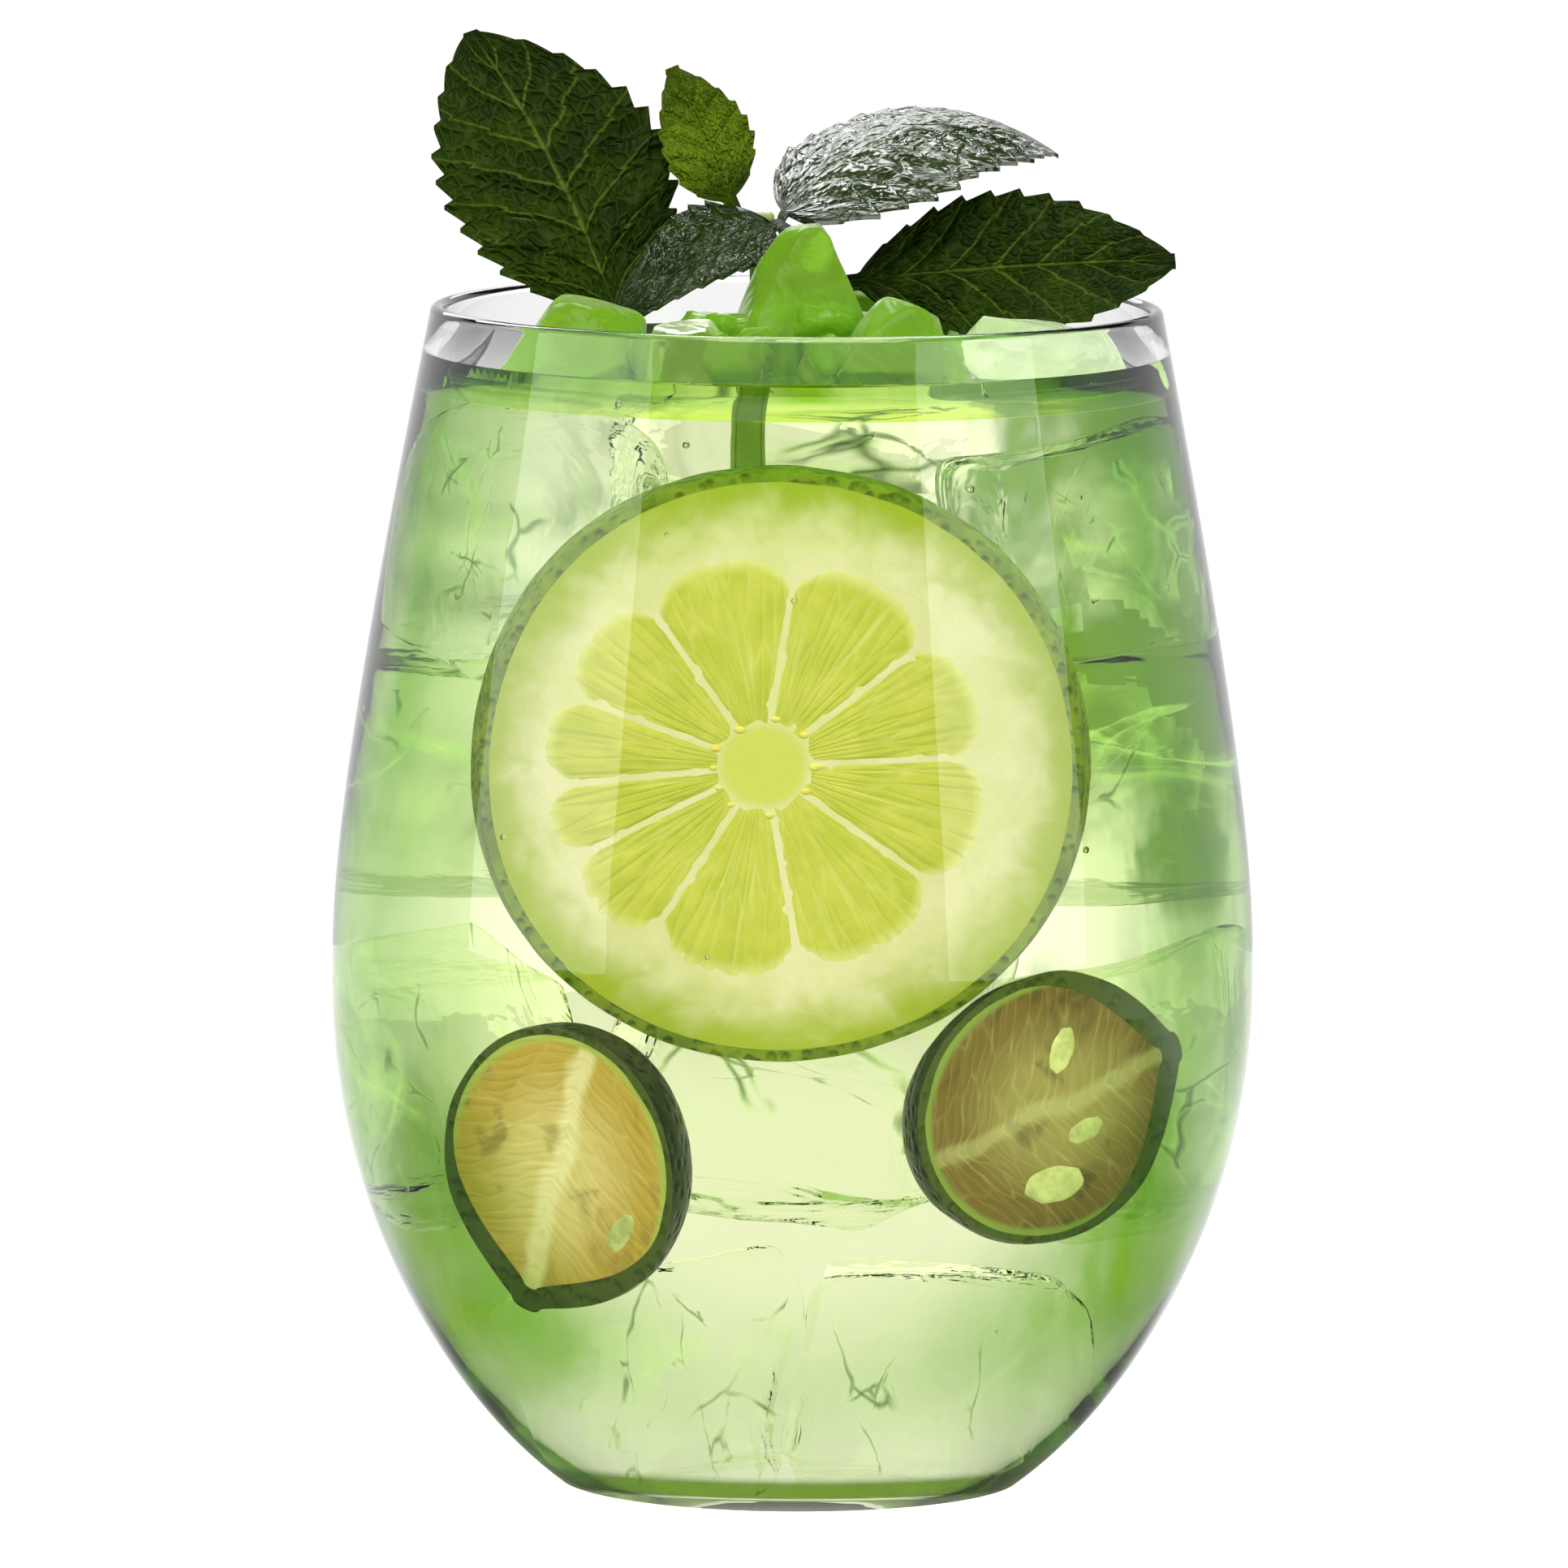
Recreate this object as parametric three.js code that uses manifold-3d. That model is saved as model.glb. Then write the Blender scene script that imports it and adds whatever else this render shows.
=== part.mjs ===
// A stemless tumbler of mojito: the glass, the drink in it, ice, a lime slice, two small lime halves
// and a mint sprig that lifts out. Millimetres, +Z up. The origin is the centre of the base, on the
// table, and -Y points at the viewer.
import * as THREE from "three";
import { mergeVertices } from "three/addons/utils/BufferGeometryUtils.js";
import { RoundedBoxGeometry } from "three/addons/geometries/RoundedBoxGeometry.js";
import Module from "manifold-3d";

// Clearance between pieces that touch
const FIT_GAP = 0.3;

// Glass: outside radii, heights above the table, wall and floor thicknesses
const GLASS_HEIGHT = 120;
const RIM_RADIUS = 36.5;
const BELLY_RADIUS = 46;
const BELLY_HEIGHT = 52;
const FOOT_RADIUS = 19.6;
const FOOT_RING_WIDTH = 4.5;
const PUNT_DEPTH = 1.2;
const RIM_WALL = 1.5;
const BELLY_WALL = 1.9;
const FLOOR_THICKNESS = 5.2;
const FLOOR_RADIUS = 18.5;
const RIM_LEAN = 11;
const HEEL_RISE = 30;
const GLASS_SIDES = 44;

// Drink: how far its surface lies below the rim, and how deep the crushed ice on it reaches
const HEADSPACE = 6;
const CRUSHED_DEPTH = 4.6;

// Ice cubes, packed against the wall in layers
const CUBE_EDGE = 22.5;
const CUBE_ROUND = 2.4;
const CUBE_TAPER = 0.06;
const CUBE_TILT = 13;

// Crushed ice: width, depth and height of the tallest chip and of the slab at the right
const PEAK_SIZE = [12, 10, 18.5];
const SLAB_SIZE = [17, 9, 7];

// Lime slice
const SLICE_RADIUS = 28.7;
const SLICE_THICKNESS = 5;
const SLICE_RIND = 1.1;
const SLICE_PITH = 7.2;
const SLICE_CORE = 4.2;
const SLICE_MEMBRANE = 0.9;
const SLICE_X = -1.4;
const SLICE_BELOW_BELLY = 3.4;
const PULP_OFFSET_X = -1.3;
const PULP_OFFSET_Z = -0.3;
const PULP_CORNER = 2.2;

// Small lime halves, cut from stem to tip
const HALF_RADIUS = 12.9;
const HALF_LENGTH = 30.6;
const HALF_PEEL = 0.9;
const NIPPLE_RADIUS = 1.7;
const NIPPLE_LENGTH = 3.4;
const SEED_LENGTH = 6.4;
const SEED_WIDTH = 3.6;

// Mint sprig
const STEM_WIDTH = 2.6;
const STEM_DEPTH_IN_DRINK = 34;
const STEM_ABOVE_RIM = 9;
const STEM_X = -3.5;
const STEM_Y = 3;
const LARGE_LEAF_LENGTH = 32;
const LARGE_LEAF_WIDTH = 20.7;
const LARGE_LEAF_SWAY = 4;
const LARGE_LEAF_INSIDE_RIM = 18.5;
const RIGHT_LEAF_INSIDE_RIM = 30.5;
const RIGHT_LEAF_LENGTH = 32;
const RIGHT_LEAF_WIDTH = 14.4;
const GLOSSY_LEAF_LENGTH = 33;
const GLOSSY_LEAF_WIDTH = 20.5;
const SMALL_LEAF_LENGTH = 19;
const SMALL_LEAF_WIDTH = 12;
const TIP_LEAF_LENGTH = 14.2;
const TIP_LEAF_WIDTH = 8.8;
const LEAF_THICKNESS = 0.5;
const PETIOLE_WIDTH = 1.4;
const TOOTH_DEPTH = 0.09;

// What follows from the sizes above
const DRINK_LEVEL = GLASS_HEIGHT - HEADSPACE;
const PULP_RADIUS = SLICE_RADIUS - SLICE_RIND - SLICE_PITH;
const STEM_BOTTOM = DRINK_LEVEL - STEM_DEPTH_IN_DRINK;
const STEM_TOP = GLASS_HEIGHT + STEM_ABOVE_RIM;
const SLICE_RISE = BELLY_HEIGHT - SLICE_BELOW_BELLY + SLICE_RADIUS;

const wasm = await Module();
wasm.setup();

// Materials

const finish = (color, roughness, opacity = 1) =>
  new THREE.MeshStandardMaterial({ color, roughness, metalness: 0, opacity, transparent: opacity < 1 });

const FINISHES = {
  glass: finish(0xf4faf6, 0.03, 0.3),
  drink: finish(0xb4e67a, 0.05, 0.6),
  ice: finish(0xdff2d2, 0.12, 0.6),
  rind: finish(0x7fa02a, 0.5),
  pith: finish(0xe8ecc0, 0.7),
  pulp: finish(0xc6d85a, 0.35),
  peel: finish(0x1f4a16, 0.45),
  flesh: finish(0xa08a3c, 0.4),
  seed: finish(0xb9cf6a, 0.4),
  leaf: finish(0x2c4a10, 0.5),
  youngLeaf: finish(0x7da81c, 0.5),
  stem: finish(0x5c8a2a, 0.55),
};

// Solids: three.js geometry to closed solids and back, for cuts

function solidOf(geometry) {
  const bare = geometry.clone();
  bare.deleteAttribute("normal");
  bare.deleteAttribute("uv");
  const merged = mergeVertices(bare, 1e-4);
  const vertProperties = new Float32Array(merged.attributes.position.array);
  const triVerts = new Uint32Array(merged.index.array);
  return new wasm.Manifold(new wasm.Mesh({ numProp: 3, vertProperties, triVerts }));
}

function geometryOf(solid) {
  const mesh = solid.getMesh();
  const places = new Float32Array(mesh.numVert * 3);
  for (let i = 0; i < mesh.numVert; i++) {
    const start = i * mesh.numProp;
    places.set(mesh.vertProperties.subarray(start, start + 3), i * 3);
  }
  return new THREE.BufferGeometry()
    .setAttribute("position", new THREE.BufferAttribute(places, 3))
    .setIndex(new THREE.BufferAttribute(mesh.triVerts, 1));
}

const cut = (geometry, ...tools) =>
  geometryOf(tools.reduce((left, tool) => left.subtract(solidOf(tool)), solidOf(geometry)));

const common = (geometry, ...others) =>
  geometryOf(others.reduce((kept, other) => kept.intersect(solidOf(other)), solidOf(geometry)));

const radians = THREE.MathUtils.degToRad;

// Turns a geometry by degrees about X, then Y, then Z.
function turned(geometry, [x, y, z]) {
  return geometry.applyMatrix4(
    new THREE.Matrix4().makeRotationFromEuler(new THREE.Euler(radians(x), radians(y), radians(z), "ZYX")),
  );
}

// Glass profile

const bezier = (a, b, c, d, steps) =>
  new THREE.CubicBezierCurve(...[a, b, c, d].map(([r, z]) => new THREE.Vector2(r, z))).getPoints(steps);

// Joins stretches of a profile end to end, leaving out points that repeat.
function joined(...stretches) {
  return stretches.flat().filter((p, i, all) => i === 0 || p.distanceTo(all[i - 1]) > 1e-3);
}

// One side of the glass, from the belly down to a foot circle and from the belly up to the rim. The
// handles are shares of each stretch's own height, so the curve keeps its character at other sizes.
const LOWER_HANDLE = 0.44;
const FOOT_HANDLE = 0.31;
const UPPER_HANDLE = 0.15;
const RIM_HANDLE = 0.72;

function lowerSide(bellyRadius, footRadius, footHeight, steps) {
  const drop = BELLY_HEIGHT - footHeight;
  const reach = FOOT_HANDLE * drop;
  return bezier(
    [footRadius, footHeight],
    [footRadius + reach * Math.cos(radians(HEEL_RISE)), footHeight + reach * Math.sin(radians(HEEL_RISE))],
    [bellyRadius, BELLY_HEIGHT - LOWER_HANDLE * drop],
    [bellyRadius, BELLY_HEIGHT],
    steps,
  );
}

function upperSide(bellyRadius, rimRadius, rimHeight, steps) {
  const rise = rimHeight - BELLY_HEIGHT;
  const reach = RIM_HANDLE * rise;
  return bezier(
    [bellyRadius, BELLY_HEIGHT],
    [bellyRadius, BELLY_HEIGHT + UPPER_HANDLE * rise],
    [rimRadius + reach * Math.sin(radians(RIM_LEAN)), rimHeight - reach * Math.cos(radians(RIM_LEAN))],
    [rimRadius, rimHeight],
    steps,
  );
}

const LIP_RADIUS = RIM_WALL / 2;
const LIP_HEIGHT = GLASS_HEIGHT - LIP_RADIUS;
const SIDE_STEPS = 7;

// The inside of the glass, from the centre of its floor up to the lip.
const insideProfile = joined(
  [new THREE.Vector2(0, FLOOR_THICKNESS)],
  lowerSide(BELLY_RADIUS - BELLY_WALL, FLOOR_RADIUS, FLOOR_THICKNESS, SIDE_STEPS),
  upperSide(BELLY_RADIUS - BELLY_WALL, RIM_RADIUS - RIM_WALL, LIP_HEIGHT, SIDE_STEPS),
);

// The inside radius at a height, on the same straight facets that the wall is made of.
function insideRadius(height) {
  const above = insideProfile.findIndex((p) => p.y > height);
  if (above <= 0) return above === 0 ? 0 : insideProfile.at(-1).x;
  const [low, high] = [insideProfile[above - 1], insideProfile[above]];
  return low.x + ((high.x - low.x) * (height - low.y)) / (high.y - low.y);
}

const revolved = (profile, sides) => new THREE.LatheGeometry(profile, sides).rotateX(Math.PI / 2);

function tumbler() {
  const puntRadius = FOOT_RADIUS - FOOT_RING_WIDTH;
  const punt = new THREE.QuadraticBezierCurve(
    new THREE.Vector2(0, PUNT_DEPTH),
    new THREE.Vector2(puntRadius / 2, PUNT_DEPTH),
    new THREE.Vector2(puntRadius, 0),
  ).getPoints(3);
  const lip = new THREE.EllipseCurve(RIM_RADIUS - LIP_RADIUS, LIP_HEIGHT, LIP_RADIUS, LIP_RADIUS, 0, Math.PI);
  const outside = joined(
    punt,
    lowerSide(BELLY_RADIUS, FOOT_RADIUS, 0, SIDE_STEPS),
    upperSide(BELLY_RADIUS, RIM_RADIUS, LIP_HEIGHT, SIDE_STEPS),
    lip.getPoints(3),
  );
  return revolved(joined(outside, [...insideProfile].reverse()), GLASS_SIDES);
}

// Moves a geometry sideways until it is the fit gap away from the inside of the glass. The inside is
// round and bulges everywhere, so the corners alone decide.
function slideToWall(geometry, degrees) {
  const [dx, dy] = [Math.cos(radians(degrees)), Math.sin(radians(degrees))];
  const places = geometry.attributes.position;
  const reach = (shift) => {
    let most = -Infinity;
    for (let i = 0; i < places.count; i++) {
      const radius = Math.hypot(places.getX(i) + shift * dx, places.getY(i) + shift * dy);
      most = Math.max(most, radius - insideRadius(places.getZ(i)) + FIT_GAP);
    }
    return most;
  };
  let [near, far] = [-BELLY_RADIUS, BELLY_RADIUS];
  while (far - near > 1e-4) {
    const middle = (near + far) / 2;
    if (reach(middle) > 0) far = middle;
    else near = middle;
  }
  return new THREE.Vector3(near * dx, near * dy, 0);
}

// Drink: the inside of the glass up to the level, less everything that stands in it

function drinkBody(contents) {
  const surface = new THREE.Vector2(insideRadius(DRINK_LEVEL), DRINK_LEVEL);
  const wetted = [...insideProfile.filter((p) => p.y < DRINK_LEVEL), surface];
  const inset = wetted.map((p, i) => {
    if (i === 0) return new THREE.Vector2(0, p.y + FIT_GAP);
    const along = wetted[Math.min(i + 1, wetted.length - 1)].clone().sub(wetted[i - 1]).normalize();
    return new THREE.Vector2(p.x - FIT_GAP * along.y, p.y + FIT_GAP * along.x);
  });
  inset.at(-1).y = DRINK_LEVEL;
  const whole = revolved([...inset, new THREE.Vector2(0, DRINK_LEVEL)], GLASS_SIDES);
  return cut(whole, ...contents);
}

// Ice cubes: melted round at the edges and a little narrower at one end, as they leave a tray

function iceCube([wide, deep, tall], grow = 0) {
  const cube = new RoundedBoxGeometry(
    wide + 2 * grow,
    deep + 2 * grow,
    tall + 2 * grow,
    1,
    CUBE_ROUND + grow,
  );
  const places = cube.attributes.position;
  for (let i = 0; i < places.count; i++) {
    const narrower = 1 - (CUBE_TAPER * places.getZ(i)) / tall;
    places.setX(i, places.getX(i) * narrower);
    places.setY(i, places.getY(i) * narrower);
  }
  return cube;
}

// Each layer's cubes by the direction they lean in, in degrees from +X. The front of the middle
// layers is left to the lime slice and the halves.
const LAYERS = [
  { directions: [14, 196], share: 0.9 },
  { directions: [2, 90, 178], share: 1 },
  { directions: [38, 142], share: 1 },
  { directions: [-14, 90, 194], share: 0.97 },
];
// How each cube of a layer lies, taken in turn: shares of the tilt about X, Y and Z.
const CUBE_TURNS = [
  [-0.9, 0.5, -1],
  [1, 0.7, 1.2],
  [-0.5, -1, 0.6],
  [0.8, -0.6, -1.4],
  [-1, 0.9, 1],
];
// How the cubes of a layer differ from a plain cube: shares of the edge, taken in turn.
const CUBE_SHARES = [
  [1, 0.95, 0.98],
  [0.94, 1, 1],
  [1, 0.92, 1],
];

function iceCubes() {
  const depth = DRINK_LEVEL - CRUSHED_DEPTH - FLOOR_THICKNESS;
  const count = Math.min(LAYERS.length, Math.floor(depth / (CUBE_EDGE + 2 * FIT_GAP)));
  const cubes = [];
  LAYERS.slice(0, count).forEach(({ directions, share }, layer) => {
    const height = FLOOR_THICKNESS + ((layer + 0.5) * depth) / count;
    directions.forEach((direction, place) => {
      const sizes = CUBE_SHARES[(layer + place) % CUBE_SHARES.length].map((part) => part * share * CUBE_EDGE);
      const turns = CUBE_TURNS[cubes.length % CUBE_TURNS.length];
      const [aboutX, aboutY, aboutZ] = turns.map((part) => part * CUBE_TILT);
      const pose = [aboutX, aboutY, direction + aboutZ];
      const set = (grow) => turned(iceCube(sizes, grow), pose).translate(0, 0, height);
      const shift = slideToWall(set(0), direction);
      cubes.push({
        name: `ice_cube_${String(cubes.length + 1).padStart(2, "0")}`,
        body: set(0).translate(...shift),
        grown: set(FIT_GAP).translate(...shift),
      });
    });
  });
  return cubes;
}

// Crushed ice at the surface: the common part of two blocks turned against each other, which leaves
// the flat facets and sharp corners of a broken cube

const CHIPS = [
  { name: "peak", at: [0.4, -8.4, 5.6], size: PEAK_SIZE, lean: [0, -4, 12], cleft: [34, 26, 40], taper: 1 },
  { name: "left", at: [-20.8, -11.4, 2.4], size: [11, 10, 9], lean: [0, 14, -12], cleft: [35, 20, 40] },
  { name: "front", at: [-10.2, -17.2, 1.7], size: [9, 7.5, 8], lean: [8, -8, 20], cleft: [30, 40, 20] },
  { name: "right", at: [9.8, -15, 2.6], size: [9, 8, 10], lean: [-4, 22, 10], cleft: [38, 25, 35] },
  { name: "slab", at: [24, -8.6, 2], size: SLAB_SIZE, lean: [0, 6, 4], cleft: [20, 8, 45] },
  { name: "back", at: [8, 18, 2], size: [14, 11, 9], lean: [8, 6, -20], cleft: [35, 30, 30] },
];
const CLEFT_SHARE = 1.12;
const CHIP_TAPER = 0.55;

function iceChip({ at: [x, y, rise], size, lean, cleft, taper = CHIP_TAPER }, grow = 0) {
  const block = (share, turns) =>
    turned(new THREE.BoxGeometry(...size.map((side) => share * side + 2 * grow)), turns);
  const chip = common(block(1, [0, 0, 0]), block(CLEFT_SHARE, cleft));
  const places = chip.attributes.position;
  for (let i = 0; i < places.count; i++) {
    const narrower = 1 - (taper * places.getZ(i)) / size[2];
    places.setX(i, places.getX(i) * narrower);
    places.setY(i, places.getY(i) * narrower);
  }
  return turned(chip, lean).translate(x, y, DRINK_LEVEL + rise);
}

// Lime slice: a rind ring round a pith disc, with a wedge of pulp in each pocket of the pith

const SLICE_SIDES = 44;
// Where the membranes between the wedges lie, in degrees from +X on the face.
const MEMBRANES = [-174, -152, -121, -80, -37, 3, 40, 82, 124, 159];

function circle(radius) {
  return new THREE.Path().absarc(0, 0, radius, 0, 2 * Math.PI);
}

// A wedge of pulp with round outer corners, drawn in by `inset` from the walls of its pocket.
function wedge(from, to, inset) {
  const side = SLICE_MEMBRANE / 2 + inset;
  const outer = PULP_RADIUS - inset;
  const edge = (radius, angle, sign) => {
    const turn = Math.asin(Math.min(1, side / radius));
    const a = radians(angle) + sign * turn;
    return new THREE.Vector2(radius * Math.cos(a), radius * Math.sin(a));
  };
  const span = radians(to - from);
  const inner = Math.max(SLICE_CORE + inset, (1.05 * side) / Math.sin(span / 2));
  const corner = Math.min(PULP_CORNER, (outer * span) / 5);
  const swing = THREE.MathUtils.radToDeg(corner / outer);
  const shape = new THREE.Shape();
  shape.moveTo(...edge(inner, from, 1));
  shape.lineTo(...edge(outer - corner, from, 1));
  shape.quadraticCurveTo(...edge(outer, from, 1), ...edge(outer, from + swing, 1));
  const [start, end] = [edge(outer, from + swing, 1), edge(outer, to - swing, -1)].map((p) => p.angle());
  shape.absarc(0, 0, outer, start, end < start ? end + 2 * Math.PI : end);
  shape.quadraticCurveTo(...edge(outer, to, -1), ...edge(outer - corner, to, -1));
  shape.lineTo(...edge(inner, to, -1));
  shape.closePath();
  return shape;
}

// Extrudes a face drawing to a plate that stands upright, facing the viewer.
function plate(shape, thickness, curveSegments) {
  return new THREE.ExtrudeGeometry(shape, { depth: thickness, bevelEnabled: false, curveSegments })
    .translate(0, 0, -thickness / 2)
    .rotateX(Math.PI / 2);
}

function limeSlice() {
  const disc = (radius, thickness) =>
    plate(new THREE.Shape(circle(radius).getPoints(SLICE_SIDES / 2)), thickness);
  const place = new THREE.Vector3(SLICE_X, 0, SLICE_RISE);
  place.add(slideToWall(disc(SLICE_RADIUS, SLICE_THICKNESS).translate(...place), -90));
  const ring = new THREE.Shape(circle(SLICE_RADIUS).getPoints(SLICE_SIDES / 2));
  ring.holes.push(circle(SLICE_RADIUS - SLICE_RIND));
  const web = new THREE.Shape(circle(SLICE_RADIUS - SLICE_RIND - FIT_GAP).getPoints(SLICE_SIDES / 2));
  const wedges = MEMBRANES.map((from, i) => {
    const to = i + 1 < MEMBRANES.length ? MEMBRANES[i + 1] : MEMBRANES[0] + 360;
    return { pocket: wedge(from, to, 0), pulp: wedge(from, to, FIT_GAP) };
  });
  const offCentre = (points) => points.map((p) => p.add(new THREE.Vector2(PULP_OFFSET_X, PULP_OFFSET_Z)));
  web.holes.push(...wedges.map(({ pocket }) => new THREE.Path(offCentre(pocket.getPoints(4)))));
  const pieces = [
    { name: "slice_rind", body: plate(ring, SLICE_THICKNESS, SLICE_SIDES / 2), finish: FINISHES.rind },
    { name: "slice_pith", body: plate(web, SLICE_THICKNESS, SLICE_SIDES / 2), finish: FINISHES.pith },
    ...wedges.map(({ pulp }, i) => ({
      name: `slice_segment_${String(i + 1).padStart(2, "0")}`,
      body: plate(new THREE.Shape(offCentre(pulp.getPoints(4))), SLICE_THICKNESS),
      finish: FINISHES.pulp,
    })),
  ];
  pieces.forEach(({ body }) => body.translate(...place));
  const grown = disc(SLICE_RADIUS + FIT_GAP, SLICE_THICKNESS + 2 * FIT_GAP).translate(...place);
  return { pieces, grown };
}

// Small lime halves: an egg with a nipple, cut from end to end; the peel is a cup, the flesh a dome
// in it and the seeds sit in pockets of the flesh

const FRUIT_SIDES = 20;
const ROUND_HANDLE = 0.5523;
const NIPPLE_DRAW = 0.34;

// An egg round Z, drawn out at the top to a nipple if it has one.
function egg(radius, length, nippleRadius, nippleLength) {
  const end = length / 2;
  const shoulder = end - nippleLength;
  const under = bezier(
    [0, -end],
    [ROUND_HANDLE * radius, -end],
    [radius, -ROUND_HANDLE * end],
    [radius, 0],
    6,
  );
  const over = bezier(
    [radius, 0],
    [radius, ROUND_HANDLE * end],
    [nippleRadius + NIPPLE_DRAW * radius, shoulder],
    [nippleRadius, end - nippleRadius / 2],
    7,
  );
  return revolved(joined(under, over, [new THREE.Vector2(0, end)]), FRUIT_SIDES);
}

// The side of a half that lies behind its cut face, as a block to keep.
function behindFace(face) {
  const side = 3 * HALF_LENGTH;
  return new THREE.BoxGeometry(side, side, side).translate(0, side / 2 + face, 0);
}

function limeHalf({ name, bearing, apart, roll, pitch, yaw, seeds }) {
  const skin = (grow) => egg(HALF_RADIUS + grow, HALF_LENGTH + 2 * grow, NIPPLE_RADIUS + grow, NIPPLE_LENGTH);
  const inner = (inset) =>
    egg(HALF_RADIUS - inset, HALF_LENGTH - NIPPLE_RADIUS - 2 * inset, NIPPLE_RADIUS / 2, NIPPLE_LENGTH)
      .translate(0, 0, -NIPPLE_RADIUS / 2);
  const seed = ([across, up, spin, share], grow) =>
    new THREE.SphereGeometry(0.5, 7, 5)
      .scale(...[SEED_WIDTH, SEED_WIDTH, SEED_LENGTH].map((side) => share * side + 2 * grow))
      .rotateY(radians(spin))
      .translate(across, SEED_WIDTH / 4, up)
      .rotateY(radians(-roll));
  const whole = common(skin(0), behindFace(0));
  const cavity = inner(HALF_PEEL);
  const flesh = common(inner(HALF_PEEL + FIT_GAP), behindFace(0));
  const pieces = [
    { name: `${name}_peel`, body: cut(whole, cavity), finish: FINISHES.peel },
    {
      name: `${name}_flesh`,
      body: cut(flesh, ...seeds.map((s) => seed(s, FIT_GAP))),
      finish: FINISHES.flesh,
    },
    ...seeds.map((s, i) => ({
      name: `${name}_seed_${i + 1}`,
      body: common(seed(s, 0), behindFace(0)),
      finish: FINISHES.seed,
    })),
  ];
  const grown = common(skin(FIT_GAP), behindFace(-FIT_GAP));
  const turn = (geometry) =>
    geometry.rotateY(radians(roll)).rotateX(radians(pitch)).rotateZ(radians(yaw));
  const away = new THREE.Vector3(Math.cos(radians(bearing)), 0, Math.sin(radians(bearing)));
  const reach = reachOf(turn(whole.clone()), away.clone().negate());
  const place = away.clone().multiplyScalar(SLICE_RADIUS + apart + reach);
  place.add(new THREE.Vector3(SLICE_X, 0, SLICE_RISE));
  place.add(slideToWall(turn(whole.clone()).translate(...place), -90));
  pieces.forEach(({ body }) => turn(body).translate(...place));
  return { pieces, grown: turn(grown).translate(...place) };
}

// How far a geometry reaches from its origin along a direction.
function reachOf(geometry, direction) {
  const places = geometry.attributes.position;
  const point = new THREE.Vector3();
  let reach = 0;
  for (let i = 0; i < places.count; i++) {
    reach = Math.max(reach, point.fromBufferAttribute(places, i).dot(direction));
  }
  return reach;
}

// Each half's bearing from the middle of the slice and its distance from the slice's edge, how far it
// is rolled in the plane of its face, pitched down and yawed, and its seeds: across, up and spin as they
// are seen on the face, and their share of a full seed.
const HALVES = [
  {
    name: "left_half",
    bearing: 242.7,
    apart: 1.4,
    roll: 202,
    pitch: 12,
    yaw: -35,
    seeds: [[6.6, -5.2, 35, 0.9]],
  },
  {
    name: "right_half",
    bearing: -52,
    apart: 0.4,
    roll: 71,
    pitch: -6,
    yaw: 32,
    seeds: [
      [0.6, 5.4, 20, 0.85],
      [3, -2.4, 66, 0.78],
      [-0.4, -7.4, 84, 1.1],
    ],
  },
];

// Mint: a square stem with leaves in pairs; each leaf is a thin keeled blade with a toothed edge

const LEAF_COLUMNS = 4;
const PETIOLE_ROWS = 2;

// How wide a blade is along its length, from 0 at the base to 1 at the tip, as a share of its width.
// A low `full` puts the widest place near the base.
const bladeShape = (v, full) => Math.pow(Math.sin(Math.PI * Math.pow(v, full)), 0.75);

// A leaf with its blade along +Y from the origin and its upper face to +Z. The petiole curves in from
// `root`; `keel` folds the blade up along the midrib, `bend` droops it and `sway` carries its tip aside.
function mintLeaf({ length, width, full, teeth, keel, bend, sway }, root) {
  const rows = PETIOLE_ROWS + 2 * teeth;
  const base = new THREE.Vector3();
  const steer = new THREE.Vector3(0, -0.6 * root.length(), 0);
  const petiole = new THREE.QuadraticBezierCurve3(root, steer, base);
  const sheet = new THREE.BoxGeometry(2, 1, LEAF_THICKNESS, LEAF_COLUMNS, rows, 1);
  const places = sheet.attributes.position;
  const spot = new THREE.Vector3();
  for (let i = 0; i < places.count; i++) {
    const row = Math.round((places.getY(i) + 0.5) * rows);
    const across = places.getX(i);
    if (row < PETIOLE_ROWS) {
      const t = row / PETIOLE_ROWS;
      const along = petiole.getTangent(t);
      const side = along.clone().cross(new THREE.Vector3(0, 0, 1)).normalize();
      const up = side.clone().cross(along);
      petiole.getPoint(t, spot);
      spot.addScaledVector(side, (across * PETIOLE_WIDTH) / 2).addScaledVector(up, places.getZ(i));
    } else {
      const v = (row - PETIOLE_ROWS) / (rows - PETIOLE_ROWS);
      const toothed = Math.abs(across) > 0.99 && (row - PETIOLE_ROWS) % 2 === 1;
      const smooth = Math.max(PETIOLE_WIDTH / 2, (width / 2) * bladeShape(v, full));
      const half = smooth * (toothed ? 1 + TOOTH_DEPTH : 1);
      const arc = radians(bend) * v;
      const fold = Math.abs(across) * half * Math.tan(radians(keel)) * Math.min(1, 3 * v);
      const droop = (length * (Math.cos(arc) - 1)) / radians(bend);
      const along = (length * Math.sin(arc)) / radians(bend);
      spot.set(across * half + sway * v * v, along, places.getZ(i) + fold + droop);
    }
    places.setXYZ(i, spot.x, spot.y, spot.z);
  }
  return sheet;
}

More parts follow.
